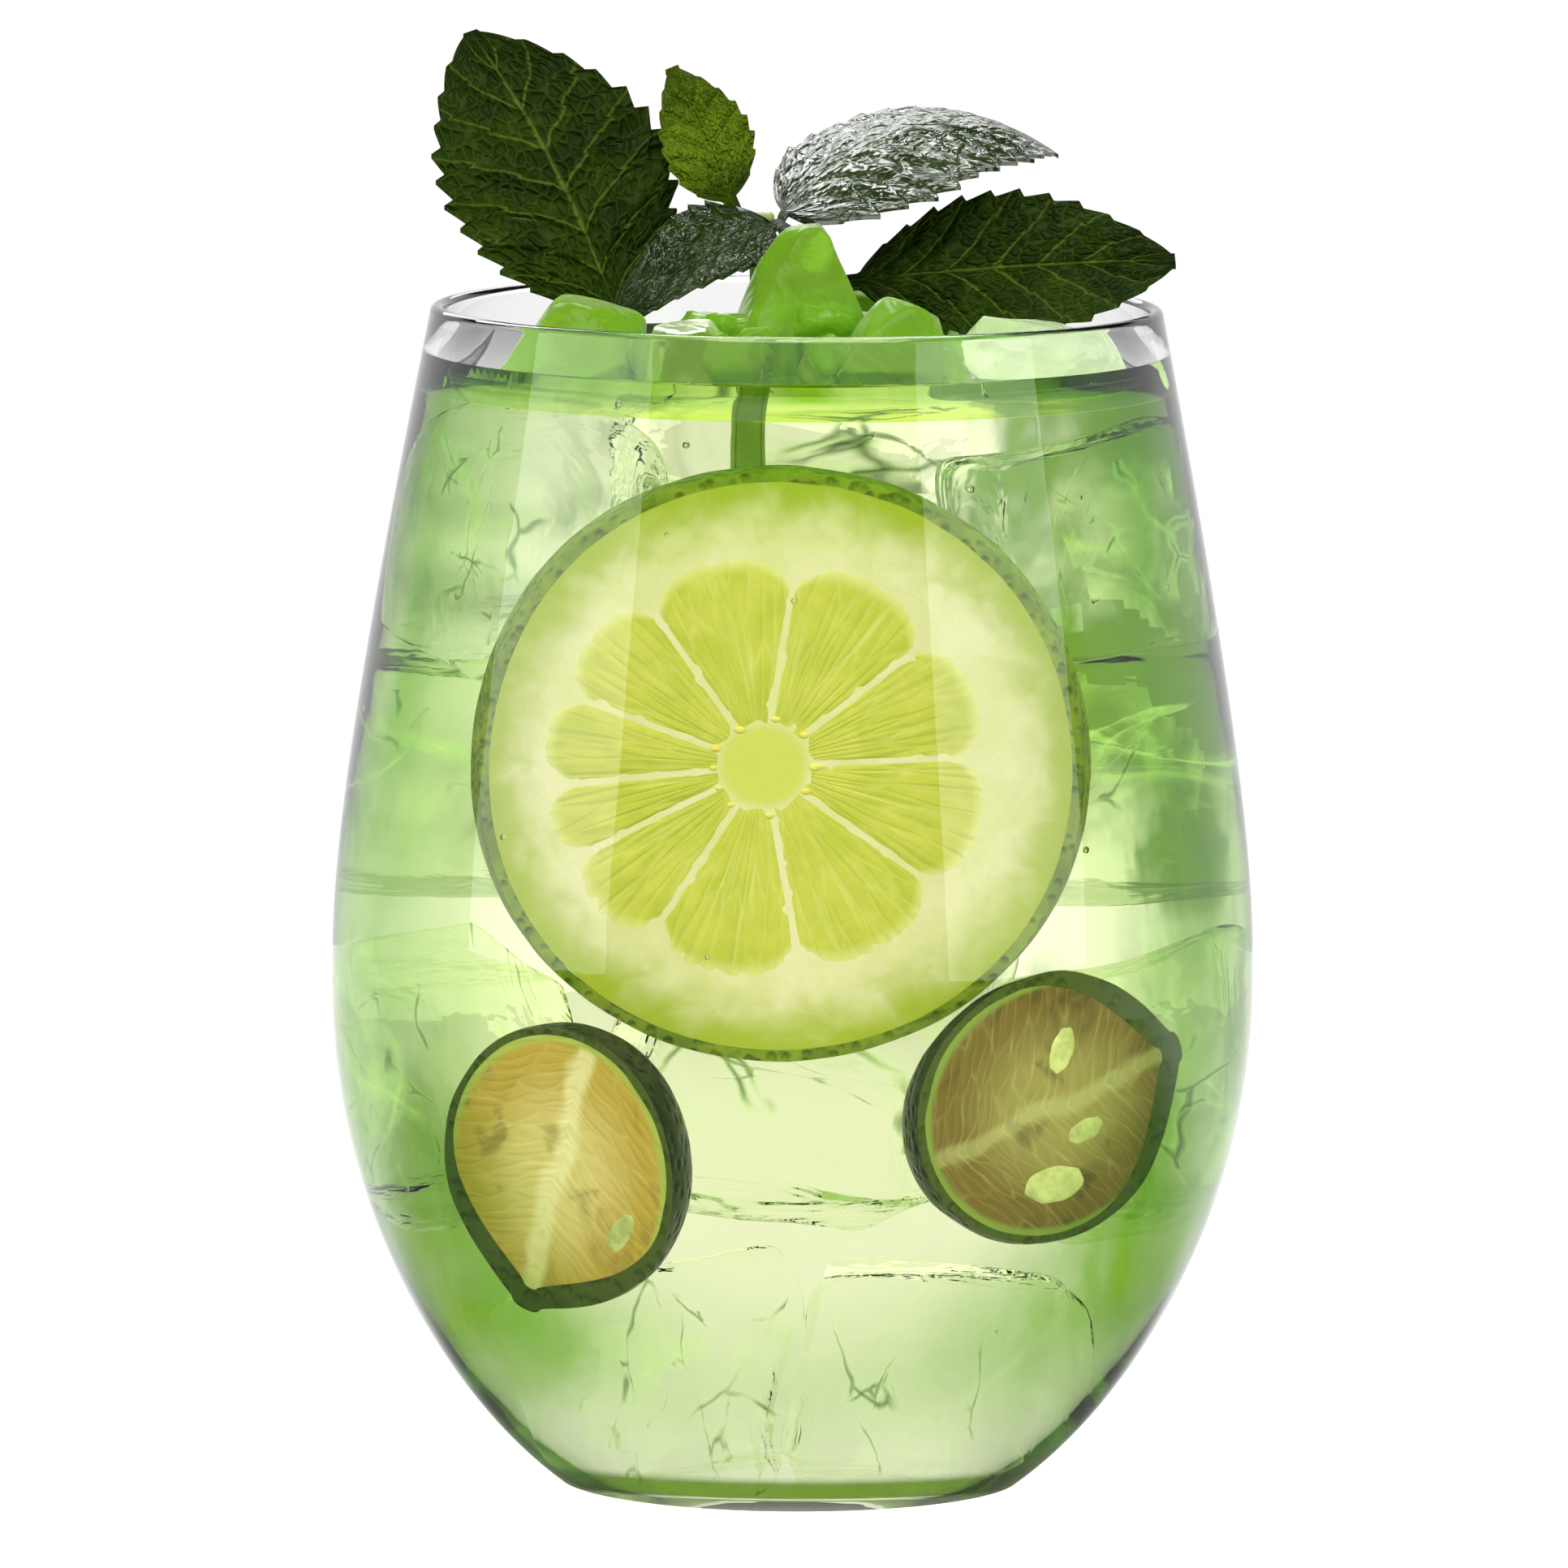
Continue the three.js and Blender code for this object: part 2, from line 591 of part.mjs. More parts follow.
// Leaves: the side of the stem they leave and how far above the rim, then the base of the blade across,
// back and above the rim, the way it grows and the way its upper face looks.
const LEAVES = [
  {
    name: "mint_leaf_large",
    side: -1,
    node: -2.2,
    base: [LARGE_LEAF_INSIDE_RIM - RIM_RADIUS, 5, -1.4],
    towards: [-0.33, 0.02, 0.94],
    facing: [0.12, -0.98, 0.1],
    form: {
      length: LARGE_LEAF_LENGTH,
      width: LARGE_LEAF_WIDTH,
      full: 0.95,
      teeth: 10,
      keel: 6,
      bend: 22,
      sway: -LARGE_LEAF_SWAY,
    },
    finish: FINISHES.leaf,
  },
  {
    name: "mint_leaf_right",
    side: 1,
    node: 0.4,
    base: [RIM_RADIUS - RIGHT_LEAF_INSIDE_RIM, 2.4, 2.4],
    towards: [1, -0.02, 0.12],
    facing: [0.04, -0.88, 0.46],
    form: {
      length: RIGHT_LEAF_LENGTH,
      width: RIGHT_LEAF_WIDTH,
      full: 0.92,
      teeth: 9,
      keel: 8,
      bend: 14,
      sway: 0,
    },
    finish: FINISHES.leaf,
  },
  {
    name: "mint_leaf_glossy",
    side: 1,
    node: 6.8,
    base: [-1.2, 2.4, 9.3],
    towards: [0.64, 0.1, 0.76],
    facing: [-0.62, -0.5, 0.6],
    form: {
      length: GLOSSY_LEAF_LENGTH,
      width: GLOSSY_LEAF_WIDTH,
      full: 0.62,
      teeth: 9,
      keel: -14,
      bend: 84,
      sway: 0,
    },
    finish: FINISHES.leaf,
  },
  {
    name: "mint_leaf_small",
    side: 1,
    node: 4.2,
    base: [STEM_X + 0.9, -1.2, 8.2],
    towards: [-0.88, -0.3, -0.3],
    facing: [-0.18, -0.52, 0.83],
    form: {
      length: SMALL_LEAF_LENGTH,
      width: SMALL_LEAF_WIDTH,
      full: 0.6,
      teeth: 7,
      keel: 12,
      bend: 30,
      sway: 0,
    },
    finish: FINISHES.leaf,
  },
  {
    name: "mint_leaf_tip",
    side: -1,
    node: 8.4,
    base: [-6.8, 3.4, 10.6],
    towards: [-0.38, 0.06, 0.92],
    facing: [0.25, -0.95, 0.2],
    form: {
      length: TIP_LEAF_LENGTH,
      width: TIP_LEAF_WIDTH,
      full: 0.75,
      teeth: 7,
      keel: 10,
      bend: 14,
      sway: 0,
    },
    finish: FINISHES.youngLeaf,
  },
];

function placedLeaf({ side, node, base, towards, facing, form }) {
  const along = new THREE.Vector3(...towards).normalize();
  const across = along.clone().cross(new THREE.Vector3(...facing)).normalize();
  const place = new THREE.Matrix4().makeBasis(across, along, across.clone().cross(along));
  place.setPosition(base[0], base[1], GLASS_HEIGHT + base[2]);
  const clear = STEM_WIDTH / 2 + FIT_GAP + PETIOLE_WIDTH / 2;
  const root = new THREE.Vector3(STEM_X + side * clear, STEM_Y, GLASS_HEIGHT + node);
  return mintLeaf(form, root.applyMatrix4(place.clone().invert())).applyMatrix4(place);
}

function stem(grow = 0) {
  const half = STEM_WIDTH / 2 + grow;
  const square = new THREE.Shape();
  square.moveTo(half, 0.7 * half);
  for (let corner = 1; corner <= 4; corner++) {
    const turn = (corner * Math.PI) / 2;
    const spot = (x, y) => [x * Math.cos(turn) - y * Math.sin(turn), x * Math.sin(turn) + y * Math.cos(turn)];
    square.lineTo(...spot(half, -0.7 * half));
    square.lineTo(...spot(0.86 * half, 0));
    square.lineTo(...spot(half, 0.7 * half));
  }
  return new THREE.ExtrudeGeometry(square, { depth: STEM_TOP - STEM_BOTTOM + 2 * grow, bevelEnabled: false })
    .translate(STEM_X, STEM_Y, STEM_BOTTOM - grow);
}

function mintSprig() {
  const leaves = LEAVES.map((leaf) => ({ name: leaf.name, body: placedLeaf(leaf), finish: leaf.finish }));
  return [{ name: "mint_stem", body: stem(), finish: FINISHES.stem }, ...leaves];
}

// Assembly

const part = new THREE.Group();
part.name = "mojito_glass";

function add(name, geometry, material) {
  const mesh = new THREE.Mesh(geometry, material.clone());
  mesh.name = name;
  part.add(mesh);
}

const slice = limeSlice();
const halves = HALVES.map(limeHalf);
const sprig = mintSprig();
const inPlace = [slice.grown, ...halves.map(({ grown }) => grown), stem(FIT_GAP)];

// Ice gives way to whatever is already in place.
function fitted({ name, body, grown }) {
  const piece = { name, body: cut(body, ...inPlace) };
  inPlace.push(grown);
  return piece;
}

const chips = CHIPS.map((chip) => ({
  name: `ice_chip_${chip.name}`,
  body: iceChip(chip),
  grown: iceChip(chip, FIT_GAP),
}));
const ice = [...iceCubes(), ...chips].map(fitted);

add("glass_tumbler", tumbler(), FINISHES.glass);
add("drink", drinkBody(inPlace), FINISHES.drink);
ice.forEach(({ name, body }) => add(name, body, FINISHES.ice));
[slice, ...halves].forEach(({ pieces }) => pieces.forEach((p) => add(p.name, p.body, p.finish)));
sprig.forEach((p) => add(p.name, p.body, p.finish));

export default part;
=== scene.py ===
"""Looks of a mojito glass: a stemless tumbler with drink, ice, lime and a sprig of mint."""
import logging
import math
import random
from dataclasses import dataclass, field, replace
from enum import Enum
from typing import Callable, Iterable, Mapping, Sequence, Union

import bmesh
import bpy
from mathutils import Euler, Matrix, Vector, noise


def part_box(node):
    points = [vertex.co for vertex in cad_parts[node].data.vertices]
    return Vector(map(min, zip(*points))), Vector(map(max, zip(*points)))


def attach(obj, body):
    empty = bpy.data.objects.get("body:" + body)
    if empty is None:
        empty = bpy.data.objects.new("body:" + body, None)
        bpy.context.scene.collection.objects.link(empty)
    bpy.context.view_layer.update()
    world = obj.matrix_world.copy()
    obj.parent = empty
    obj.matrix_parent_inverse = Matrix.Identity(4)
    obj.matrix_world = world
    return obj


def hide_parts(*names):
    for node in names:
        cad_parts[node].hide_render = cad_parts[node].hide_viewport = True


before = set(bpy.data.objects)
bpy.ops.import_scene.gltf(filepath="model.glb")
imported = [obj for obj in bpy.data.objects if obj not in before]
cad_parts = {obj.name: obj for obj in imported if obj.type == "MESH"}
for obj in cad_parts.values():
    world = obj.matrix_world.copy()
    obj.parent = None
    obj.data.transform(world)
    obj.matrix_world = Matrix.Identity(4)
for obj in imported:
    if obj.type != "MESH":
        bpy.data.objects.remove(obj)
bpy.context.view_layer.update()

LOG = logging.getLogger("mojito")
MM = 0.001
TINY = 1e-6
WET_SHINE = 0.12
GLASS_BEND = 1.5
DRINK_BEND = 1.333
NO_BEND = 1.0005
FLAT_ANGLE = 2.0

Colour = tuple[float, float, float]
Place = tuple[float, float, float]
Point = tuple[float, float]
Material = bpy.types.Material
Mesh = bmesh.types.BMesh
Node = bpy.types.Node
Socket = bpy.types.NodeSocket
Value = Union[Socket, float, Sequence[float]]
Inputs = Mapping[Union[str, int], Value]


class Body(Enum):
    """The bodies of the frame."""

    GLASS = "glass"
    SPRIG = "mint_sprig"


class Slot(Enum):
    """The material slots of the part."""

    GLASS = "glass"
    DRINK = "drink"
    ICE = "ice"
    RIND = "rind"
    PITH = "pith"
    PULP = "pulp"
    PEEL = "peel"
    FLESH = "flesh"
    SEED = "seed"
    LEAF = "leaf"
    YOUNG_LEAF = "young_leaf"
    STEM = "stem"


# Shader graphs


class Graph:
    """Adds nodes to one node tree and joins them.

    Args:
        tree: the material's or the group's node tree.
    """

    def __init__(self, tree: bpy.types.NodeTree) -> None:
        self.tree = tree

    def feed(self, socket: Socket, value: Value) -> None:
        """Links or sets one input.

        Args:
            socket: the input.
            value: an output to link, or a plain value.
        """
        if isinstance(value, bpy.types.NodeSocket):
            self.tree.links.new(value, socket)
        elif socket.type == "RGBA" and len(value) == 3:
            socket.default_value = (*value, 1.0)
        else:
            socket.default_value = value

    def fill(self, node: Node, inputs: Inputs) -> None:
        """Links or sets several inputs of a node.

        Args:
            node: the node.
            inputs: values or outputs for its inputs.
        """
        for name, value in inputs.items():
            self.feed(node.inputs[name], value)

    def add(self, kind: str, inputs: Union[Inputs, None] = None, **settings: object) -> Node:
        """Adds a node.

        Args:
            kind: the node's type name.
            inputs: values or outputs for its inputs.
            settings: its own properties.

        Returns:
            The node.
        """
        node = self.tree.nodes.new(kind)
        for name, value in settings.items():
            setattr(node, name, value)
        self.fill(node, inputs or {})
        return node

    def math(self, operation: str, *values: Value, clamp: bool = False) -> Socket:
        """Adds a maths node.

        Args:
            operation: the node's operation.
            values: its inputs in order.
            clamp: whether the result is kept between 0 and 1.

        Returns:
            The result.
        """
        inputs = dict(enumerate(values))
        return self.add("ShaderNodeMath", inputs, operation=operation, use_clamp=clamp).outputs[0]

    def times(self, first: Value, second: Value) -> Socket:
        """The product of two values."""
        return self.math("MULTIPLY", first, second)

    def inverse(self, value: Value) -> Socket:
        """What is left of 1 when a value is taken from it."""
        return self.math("SUBTRACT", 1.0, value)

    def vectors(self, operation: str, inputs: Inputs) -> Node:
        """A vector maths node with its inputs by number."""
        return self.add("ShaderNodeVectorMath", inputs, operation=operation)

    def split(self, vector: Socket) -> Sequence[Socket]:
        """The three parts of a vector."""
        return self.add("ShaderNodeSeparateXYZ", {0: vector}).outputs

    def mix(self, factor: Value, first: Value, second: Value) -> Socket:
        """Mixes two colours.

        Args:
            factor: how much of the second colour.
            first: a colour.
            second: a colour.

        Returns:
            The mixed colour.
        """
        return self.add("ShaderNodeMix", {0: factor, 6: first, 7: second}, data_type="RGBA").outputs[2]

    def span(self, value: Value, low: float, high: float, to_low: float = 0.0,
             to_high: float = 1.0) -> Socket:
        """Maps a range smoothly to another.

        Args:
            value: what is mapped.
            low: start of the range.
            high: end of the range.
            to_low: result at the start.
            to_high: result at the end.

        Returns:
            The mapped value.
        """
        inputs = {"Value": value, "From Min": low, "From Max": high, "To Min": to_low, "To Max": to_high}
        return self.add("ShaderNodeMapRange", inputs, interpolation_type="SMOOTHSTEP").outputs[0]

    def place(self, kind: str = "Object") -> Socket:
        """Coordinates of the surface.

        Args:
            kind: Object, UV or Generated.

        Returns:
            The coordinates.
        """
        return self.add("ShaderNodeTexCoord").outputs[kind]

    def stretch(self, vector: Socket, scale: Sequence[float]) -> Socket:
        """Scales coordinates.

        Args:
            vector: the coordinates.
            scale: factor on each axis.

        Returns:
            The scaled coordinates.
        """
        return self.add("ShaderNodeMapping", {"Vector": vector, "Scale": scale}).outputs[0]

    def noise(self, vector: Socket, scale: Value, detail: float = 3.0, twist: float = 0.0) -> Socket:
        """Adds a noise texture.

        Args:
            vector: coordinates.
            scale: its scale.
            detail: octaves.
            twist: distortion.

        Returns:
            The noise, about 0 to 1.
        """
        inputs = {"Vector": vector, "Scale": scale, "Detail": detail, "Distortion": twist}
        return self.add("ShaderNodeTexNoise", inputs).outputs[0]

    def cells(self, vector: Socket, scale: Value, feature: str = "F1") -> Socket:
        """Adds a cell texture.

        Args:
            vector: coordinates.
            scale: its scale.
            feature: F1 or DISTANCE_TO_EDGE.

        Returns:
            The distance.
        """
        inputs = {"Vector": vector, "Scale": scale}
        return self.add("ShaderNodeTexVoronoi", inputs, feature=feature).outputs["Distance"]

    def bump(self, height: Value, strength: float, depth: float) -> Socket:
        """Turns a height into a normal.

        Args:
            height: the height, 0 to 1.
            strength: how much of it shows.
            depth: metres that a height of 1 stands for.

        Returns:
            The normal.
        """
        inputs = {"Height": height, "Strength": strength, "Distance": depth}
        return self.add("ShaderNodeBump", inputs).outputs[0]

    def effect(self, group: bpy.types.NodeTree, inputs: Inputs) -> Mapping[str, Socket]:
        """Places a node group.

        Args:
            group: the group.
            inputs: values for its inputs.

        Returns:
            The group's outputs.
        """
        return self.add("ShaderNodeGroup", inputs, node_tree=group).outputs


class Effects:
    """The effects that several finishes share, each a node group built once."""

    def __init__(self) -> None:
        self.mottle = self._group("Mottle", {"First": "Color", "Second": "Color", "Scale": "Float"},
                                  {"Color": "Color", "Mask": "Float"}, self._mottle)
        self.pores = self._group("Pores", {"Scale": "Float"},
                                 {"Height": "Float", "Mask": "Float"}, self._pores)
        self.vesicles = self._group("Vesicles", {"Vector": "Vector", "Scale": "Float"},
                                    {"Height": "Float", "Fibre": "Float"}, self._vesicles)
        self.frost = self._group("Frost", {"Scale": "Float"},
                                 {"Height": "Float", "Mask": "Float"}, self._frost)
        self.veins = self._group("Veins", {"Vector": "Vector", "Pairs": "Float"},
                                 {"Height": "Float", "Vein": "Float", "Net": "Float"}, self._veins)

    @staticmethod
    def _group(name: str, inputs: Mapping[str, str], outputs: Mapping[str, str],
               wire: Callable[[Graph, Mapping[str, Socket]], Mapping[str, Socket]]) -> bpy.types.NodeTree:
        """Builds a node group.

        Args:
            name: the group's name.
            inputs: its inputs and their kinds.
            outputs: its outputs and their kinds.
            wire: adds the nodes, and gives a socket for each output.

        Returns:
            The group.
        """
        tree = bpy.data.node_groups.new(name, "ShaderNodeTree")
        for socket, kind in inputs.items():
            tree.interface.new_socket(socket, in_out="INPUT", socket_type=f"NodeSocket{kind}")
        for socket, kind in outputs.items():
            tree.interface.new_socket(socket, in_out="OUTPUT", socket_type=f"NodeSocket{kind}")
        graph = Graph(tree)
        given = graph.add("NodeGroupInput").outputs
        made = wire(graph, {socket: given[socket] for socket in inputs})
        graph.add("NodeGroupOutput", made)
        return tree

    @staticmethod
    def _mottle(graph: Graph, given: Mapping[str, Socket]) -> Mapping[str, Socket]:
        """Soft blotches between two colours, with a finer grain in them.

        Args:
            graph: the group's graph.
            given: the group's inputs.

        Returns:
            A socket for each output.
        """
        place = graph.place()
        blotch = graph.noise(place, given["Scale"], 4.0, 0.4)
        grain = graph.noise(place, graph.times(given["Scale"], 6.0), 3.0)
        mask = graph.span(graph.math("MULTIPLY_ADD", grain, 0.35, blotch), 0.45, 0.9)
        return {"Color": graph.mix(mask, given["First"], given["Second"]), "Mask": mask}

    @staticmethod
    def _pores(graph: Graph, given: Mapping[str, Socket]) -> Mapping[str, Socket]:
        """Oil glands: small round pits spread over the peel.

        Args:
            graph: the group's graph.
            given: the group's inputs.

        Returns:
            A socket for each output.
        """
        place = graph.place()
        pit = graph.span(graph.cells(place, given["Scale"]), 0.1, 0.55)
        swell = graph.noise(place, graph.times(given["Scale"], 0.2), 2.0)
        return {"Height": graph.math("MULTIPLY_ADD", swell, 0.6, pit), "Mask": pit}

    @staticmethod
    def _vesicles(graph: Graph, given: Mapping[str, Socket]) -> Mapping[str, Socket]:
        """Juice sacs: long cells that run along the second axis, with pale fibres between them.

        Args:
            graph: the group's graph.
            given: the group's inputs.

        Returns:
            A socket for each output.
        """
        warp = graph.noise(given["Vector"], 3.0, 2.0)
        lean = graph.vectors("SCALE", {0: given["Vector"], 3: 0.12}).outputs[0]
        bent = graph.vectors("ADD", {0: given["Vector"], 1: lean}).outputs[0]
        sac = graph.cells(graph.stretch(bent, (1.0, 0.24, 1.0)), given["Scale"], "DISTANCE_TO_EDGE")
        drawn = graph.stretch(given["Vector"], (1.0, 0.06, 1.0))
        fibre = graph.noise(drawn, graph.times(given["Scale"], 2.4), 3.0, 0.3)
        line = graph.times(graph.span(fibre, 0.54, 0.72), 0.7)
        edge = graph.inverse(graph.span(sac, 0.0, 0.09))
        pale = graph.math("MULTIPLY_ADD", edge, graph.times(warp, 0.7), line, clamp=True)
        return {"Height": graph.span(sac, 0.0, 0.28), "Fibre": pale}

    @staticmethod
    def _frost(graph: Graph, given: Mapping[str, Socket]) -> Mapping[str, Socket]:
        """Melted ice: broad waves in the surface and cloudy patches.

        Args:
            graph: the group's graph.
            given: the group's inputs.

        Returns:
            A socket for each output.
        """
        place = graph.place()
        wave = graph.noise(place, given["Scale"], 3.0, 0.6)
        cloud = graph.noise(place, graph.times(given["Scale"], 0.6), 5.0, 1.2)
        return {"Height": wave, "Mask": graph.span(cloud, 0.5, 0.75)}

    @staticmethod
    def _veins(graph: Graph, given: Mapping[str, Socket]) -> Mapping[str, Socket]:
        """A leaf's veins from its own across and along: midrib, side veins and the net between them.

        Args:
            graph: the group's graph.
            given: the group's inputs.

        Returns:
            A socket for each output.
        """
        parts = graph.split(given["Vector"])
        away = graph.math("ABSOLUTE", parts[0])
        wander = graph.noise(given["Vector"], 5.0, 2.0)
        climb = graph.times(graph.math("POWER", away, 0.8), 0.24)
        along = graph.math("SUBTRACT", graph.math("MULTIPLY_ADD", wander, 0.035, parts[1]), climb)
        phase = graph.math("FRACT", graph.times(along, given["Pairs"]))
        off = graph.math("ABSOLUTE", graph.math("SUBTRACT", phase, 0.5))
        side = graph.times(graph.span(off, 0.43, 0.5), graph.inverse(graph.times(away, 0.45)))
        midrib = graph.inverse(graph.span(away, 0.0, 0.045))
        net = graph.cells(graph.stretch(given["Vector"], (1.0, 2.3, 1.0)), 9.0, "DISTANCE_TO_EDGE")
        pillow = graph.inverse(graph.math("POWER", graph.times(off, 2.0), 2.0))
        quilt = graph.math("MULTIPLY_ADD", graph.span(net, 0.0, 0.3), 0.35, graph.times(pillow, 0.65))
        return {"Height": graph.math("SUBTRACT", quilt, graph.times(midrib, 0.5)),
                "Vein": graph.math("MAXIMUM", side, midrib), "Net": graph.inverse(graph.span(net, 0.0, 0.12))}


# Finishes


def new_material(name: str) -> tuple[Material, Graph, Node, Node]:
    """Starts a material.

    Args:
        name: its name.

    Returns:
        The material, its graph, its shader and its output.
    """
    material = bpy.data.materials.new(name)
    material.use_nodes = True
    nodes = material.node_tree.nodes
    return material, Graph(material.node_tree), nodes["Principled BSDF"], nodes["Material Output"]


def let_light_through(graph: Graph, shader: Node, output: Node, tint: Colour) -> None:
    """Lets lamps shine through a clear surface.

    Args:
        graph: the material's graph.
        shader: its shader.
        output: its output.
        tint: colour that the light takes.
    """
    path = graph.add("ShaderNodeLightPath")
    clear = graph.add("ShaderNodeBsdfTransparent", {"Color": tint})
    both = graph.add("ShaderNodeMixShader",
                     {0: path.outputs["Is Shadow Ray"], 1: shader.outputs[0], 2: clear.outputs[0]})
    graph.feed(output.inputs["Surface"], both.outputs[0])


@dataclass(frozen=True)
class ClearFinish:
    """A clear finish: glass, drink or ice.

    Args:
        name: the material's name.
        tint: its colour.
        ior: how strongly it bends light.
        wave_scale: waves per metre in its surface.
        wave_depth: depth of the waves in metres.
        haze: roughness in its cloudy patches.
        clear: roughness elsewhere.
        soak: colour that it lets through in its depth, or None.
        density: how fast it soaks up the rest, per metre.
        rim: colour where it is looked through at a slant, or None; in the drink it is partly its deeper colour
            and partly painted shade of the dim room seen through its edges.
        rim_from: slant where that colour starts, 0 to 1.
        rim_full: slant where that colour is full.
        rim_above: height below which that colour is left out.
        rim_rise: height over which it comes in.
        rim_streaks: strengths of a streak where that colour starts to show more, and shows fully.
        rim_least: share of that colour between the streaks.
        far: colour of the painted shade on its far side, dark drifts for the dim room seen through the drink,
            or None.
        far_middle: height of the clear place between the drifts.
        far_reach: half width and half height of that place.
        far_fade: where in that place the drifts start, and are full, in shares of its size.
        far_streaks: strengths of a streak where a drift starts to show more, and shows fully.
        far_least: share of a drift between the streaks.
        far_depth: how far behind the middle the far side is full.
        streaks: upright streaks per metre.
        streak_shape: how the streaks are drawn out on each axis.
        sole: colour of a ring of painted shade round its lower edge, or None.
        sole_height: heights between which that colour is.
        sole_fade: heights over which it comes in below and goes out above.
        body: share of its light that it scatters like snow.
    """

    name: str
    tint: Colour
    ior: float
    wave_scale: float
    wave_depth: float
    haze: float
    clear: float = 0.0
    soak: Union[Colour, None] = None
    density: float = 0.0
    rim: Union[Colour, None] = None
    rim_from: float = 0.5
    rim_full: float = 1.0
    rim_above: float = -1.0
    rim_rise: float = 20 * MM
    rim_streaks: Point = (0.36, 0.64)
    rim_least: float = 0.55
    far: Union[Colour, None] = None
    far_middle: float = 26 * MM
    far_reach: Point = (21 * MM, 24 * MM)
    far_fade: Point = (0.5, 1.3)
    far_streaks: Point = (0.42, 0.58)
    far_least: float = 0.2
    far_depth: float = 15 * MM
    streaks: float = 70.0
    streak_shape: Place = (1.0, 1.0, 0.4)
    sole: Union[Colour, None] = None
    sole_height: Point = (5.5 * MM, 6.8 * MM)
    sole_fade: Point = (0.2 * MM, 1 * MM)
    body: float = 0.0

    def _streaks(self, graph: Graph, span: Point, least: float) -> Socket:
        """Upright streaks.

        Args:
            graph: the material's graph.
            span: strengths where a streak starts to show more, and shows fully.
            least: what is left between the streaks.

        Returns:
            Their mask.
        """
        drawn = graph.stretch(graph.place(), self.streak_shape)
        return graph.span(graph.noise(drawn, self.streaks, 4.0, 0.7), *span, least, 1.0)

    def _far_shade(self, graph: Graph) -> Socket:
        """Painted shade on the far side: upright dark drifts round a clear place.

        Args:
            graph: the material's graph.

        Returns:
            Their mask.
        """
        spot = graph.split(graph.place())
        aside = graph.math("DIVIDE", spot[0], self.far_reach[0])
        above = graph.math("DIVIDE", graph.math("SUBTRACT", spot[2], self.far_middle), self.far_reach[1])
        away = graph.math("SQRT", graph.math("MULTIPLY_ADD", aside, aside, graph.times(above, above)))
        drift = graph.times(graph.span(away, *self.far_fade),
                            self._streaks(graph, self.far_streaks, self.far_least))
        return graph.times(drift, graph.span(spot[1], 0.0, self.far_depth))

    def _colour(self, graph: Graph, wavy: Socket) -> Value:
        """Colour over the surface.

        Args:
            graph: the material's graph.
            wavy: the surface's normal.

        Returns:
            The colour.
        """
        if not self.rim:
            return self.tint
        height = graph.split(graph.place())[2]
        # In the drink the slant colour is partly its deeper colour and partly painted shade of the dim room
        # seen through its edges.
        slant = graph.add("ShaderNodeLayerWeight", {"Blend": 0.5, "Normal": wavy}).outputs["Facing"]
        edge = graph.times(graph.span(slant, self.rim_from, self.rim_full),
                           graph.span(height, self.rim_above, self.rim_above + self.rim_rise))
        if self.far:
            edge = graph.times(edge, self._streaks(graph, self.rim_streaks, self.rim_least))
        colour = graph.mix(edge, self.tint, self.rim)
        # Painted shade: dark drifts on the far side, for the dim room seen through the drink.
        if self.far:
            colour = graph.mix(self._far_shade(graph), colour, self.far)
        # Painted shade: a dark ring round the lower edge, where the glass bends the view.
        if self.sole:
            low, high = self.sole_height
            ring = graph.times(graph.span(height, low - self.sole_fade[0], low),
                               graph.span(height, high, high + self.sole_fade[1], 1.0, 0.0))
            colour = graph.mix(ring, colour, self.sole)
        return colour

    def build(self, effects: Effects) -> Material:
        """Builds the material.

        Args:
            effects: shared node groups.

        Returns:
            The material.
        """
        material, graph, shader, output = new_material(self.name)
        frost = graph.effect(effects.frost, {"Scale": self.wave_scale})
        wavy = graph.bump(frost["Height"], 1.0, self.wave_depth)
        rough: Value = self.clear
        if self.haze != self.clear:
            rough = graph.span(frost["Mask"], 0.0, 1.0, self.clear, self.haze)
        graph.fill(shader, {"Base Color": self._colour(graph, wavy), "IOR": self.ior, "Roughness": rough,
                            "Transmission Weight": 1.0 - self.body, "Normal": wavy})
        let_light_through(graph, shader, output, self.tint)
        if self.soak:
            depth = graph.add("ShaderNodeVolumeAbsorption", {"Color": self.soak, "Density": self.density})
            graph.feed(output.inputs["Volume"], depth.outputs[0])
        return material


@dataclass(frozen=True)
class PeelFinish:
    """A citrus peel.

    Args:
        name: the material's name.
        dark: main colour.
        light: colour of its blotches.
        scale: blotches per metre.
        pores: oil glands per metre.
        pore_depth: depth of a gland in metres.
        roughness: how dull it is.
        cut: colour where it is cut, marked by the first place of its UV.
        patchy: how much duller its blotches are.
    """

    name: str
    dark: Colour
    light: Colour
    scale: float
    pores: float
    pore_depth: float
    roughness: float
    cut: Colour = (0.06, 0.09, 0.012)
    patchy: float = 0.12

    def build(self, effects: Effects) -> Material:
        """Builds the material.

        Args:
            effects: shared node groups.

        Returns:
            The material.
        """
        material, graph, shader, _ = new_material(self.name)
        mottle = graph.effect(effects.mottle, {"First": self.dark, "Second": self.light, "Scale": self.scale})
        pores = graph.effect(effects.pores, {"Scale": self.pores})
        deep = tuple(part / 2 for part in self.dark)
        skin = graph.mix(graph.times(graph.inverse(pores["Mask"]), 0.5), mottle["Color"], deep)
        rough = graph.span(mottle["Mask"], 0.0, 1.0, self.roughness, self.roughness + self.patchy)
        graph.fill(shader, {"Base Color": graph.mix(graph.split(graph.place("UV"))[0], skin, self.cut),
                            "Roughness": rough, "Specular IOR Level": WET_SHINE,
                            "Normal": graph.bump(pores["Height"], 0.8, self.pore_depth)})
        return material


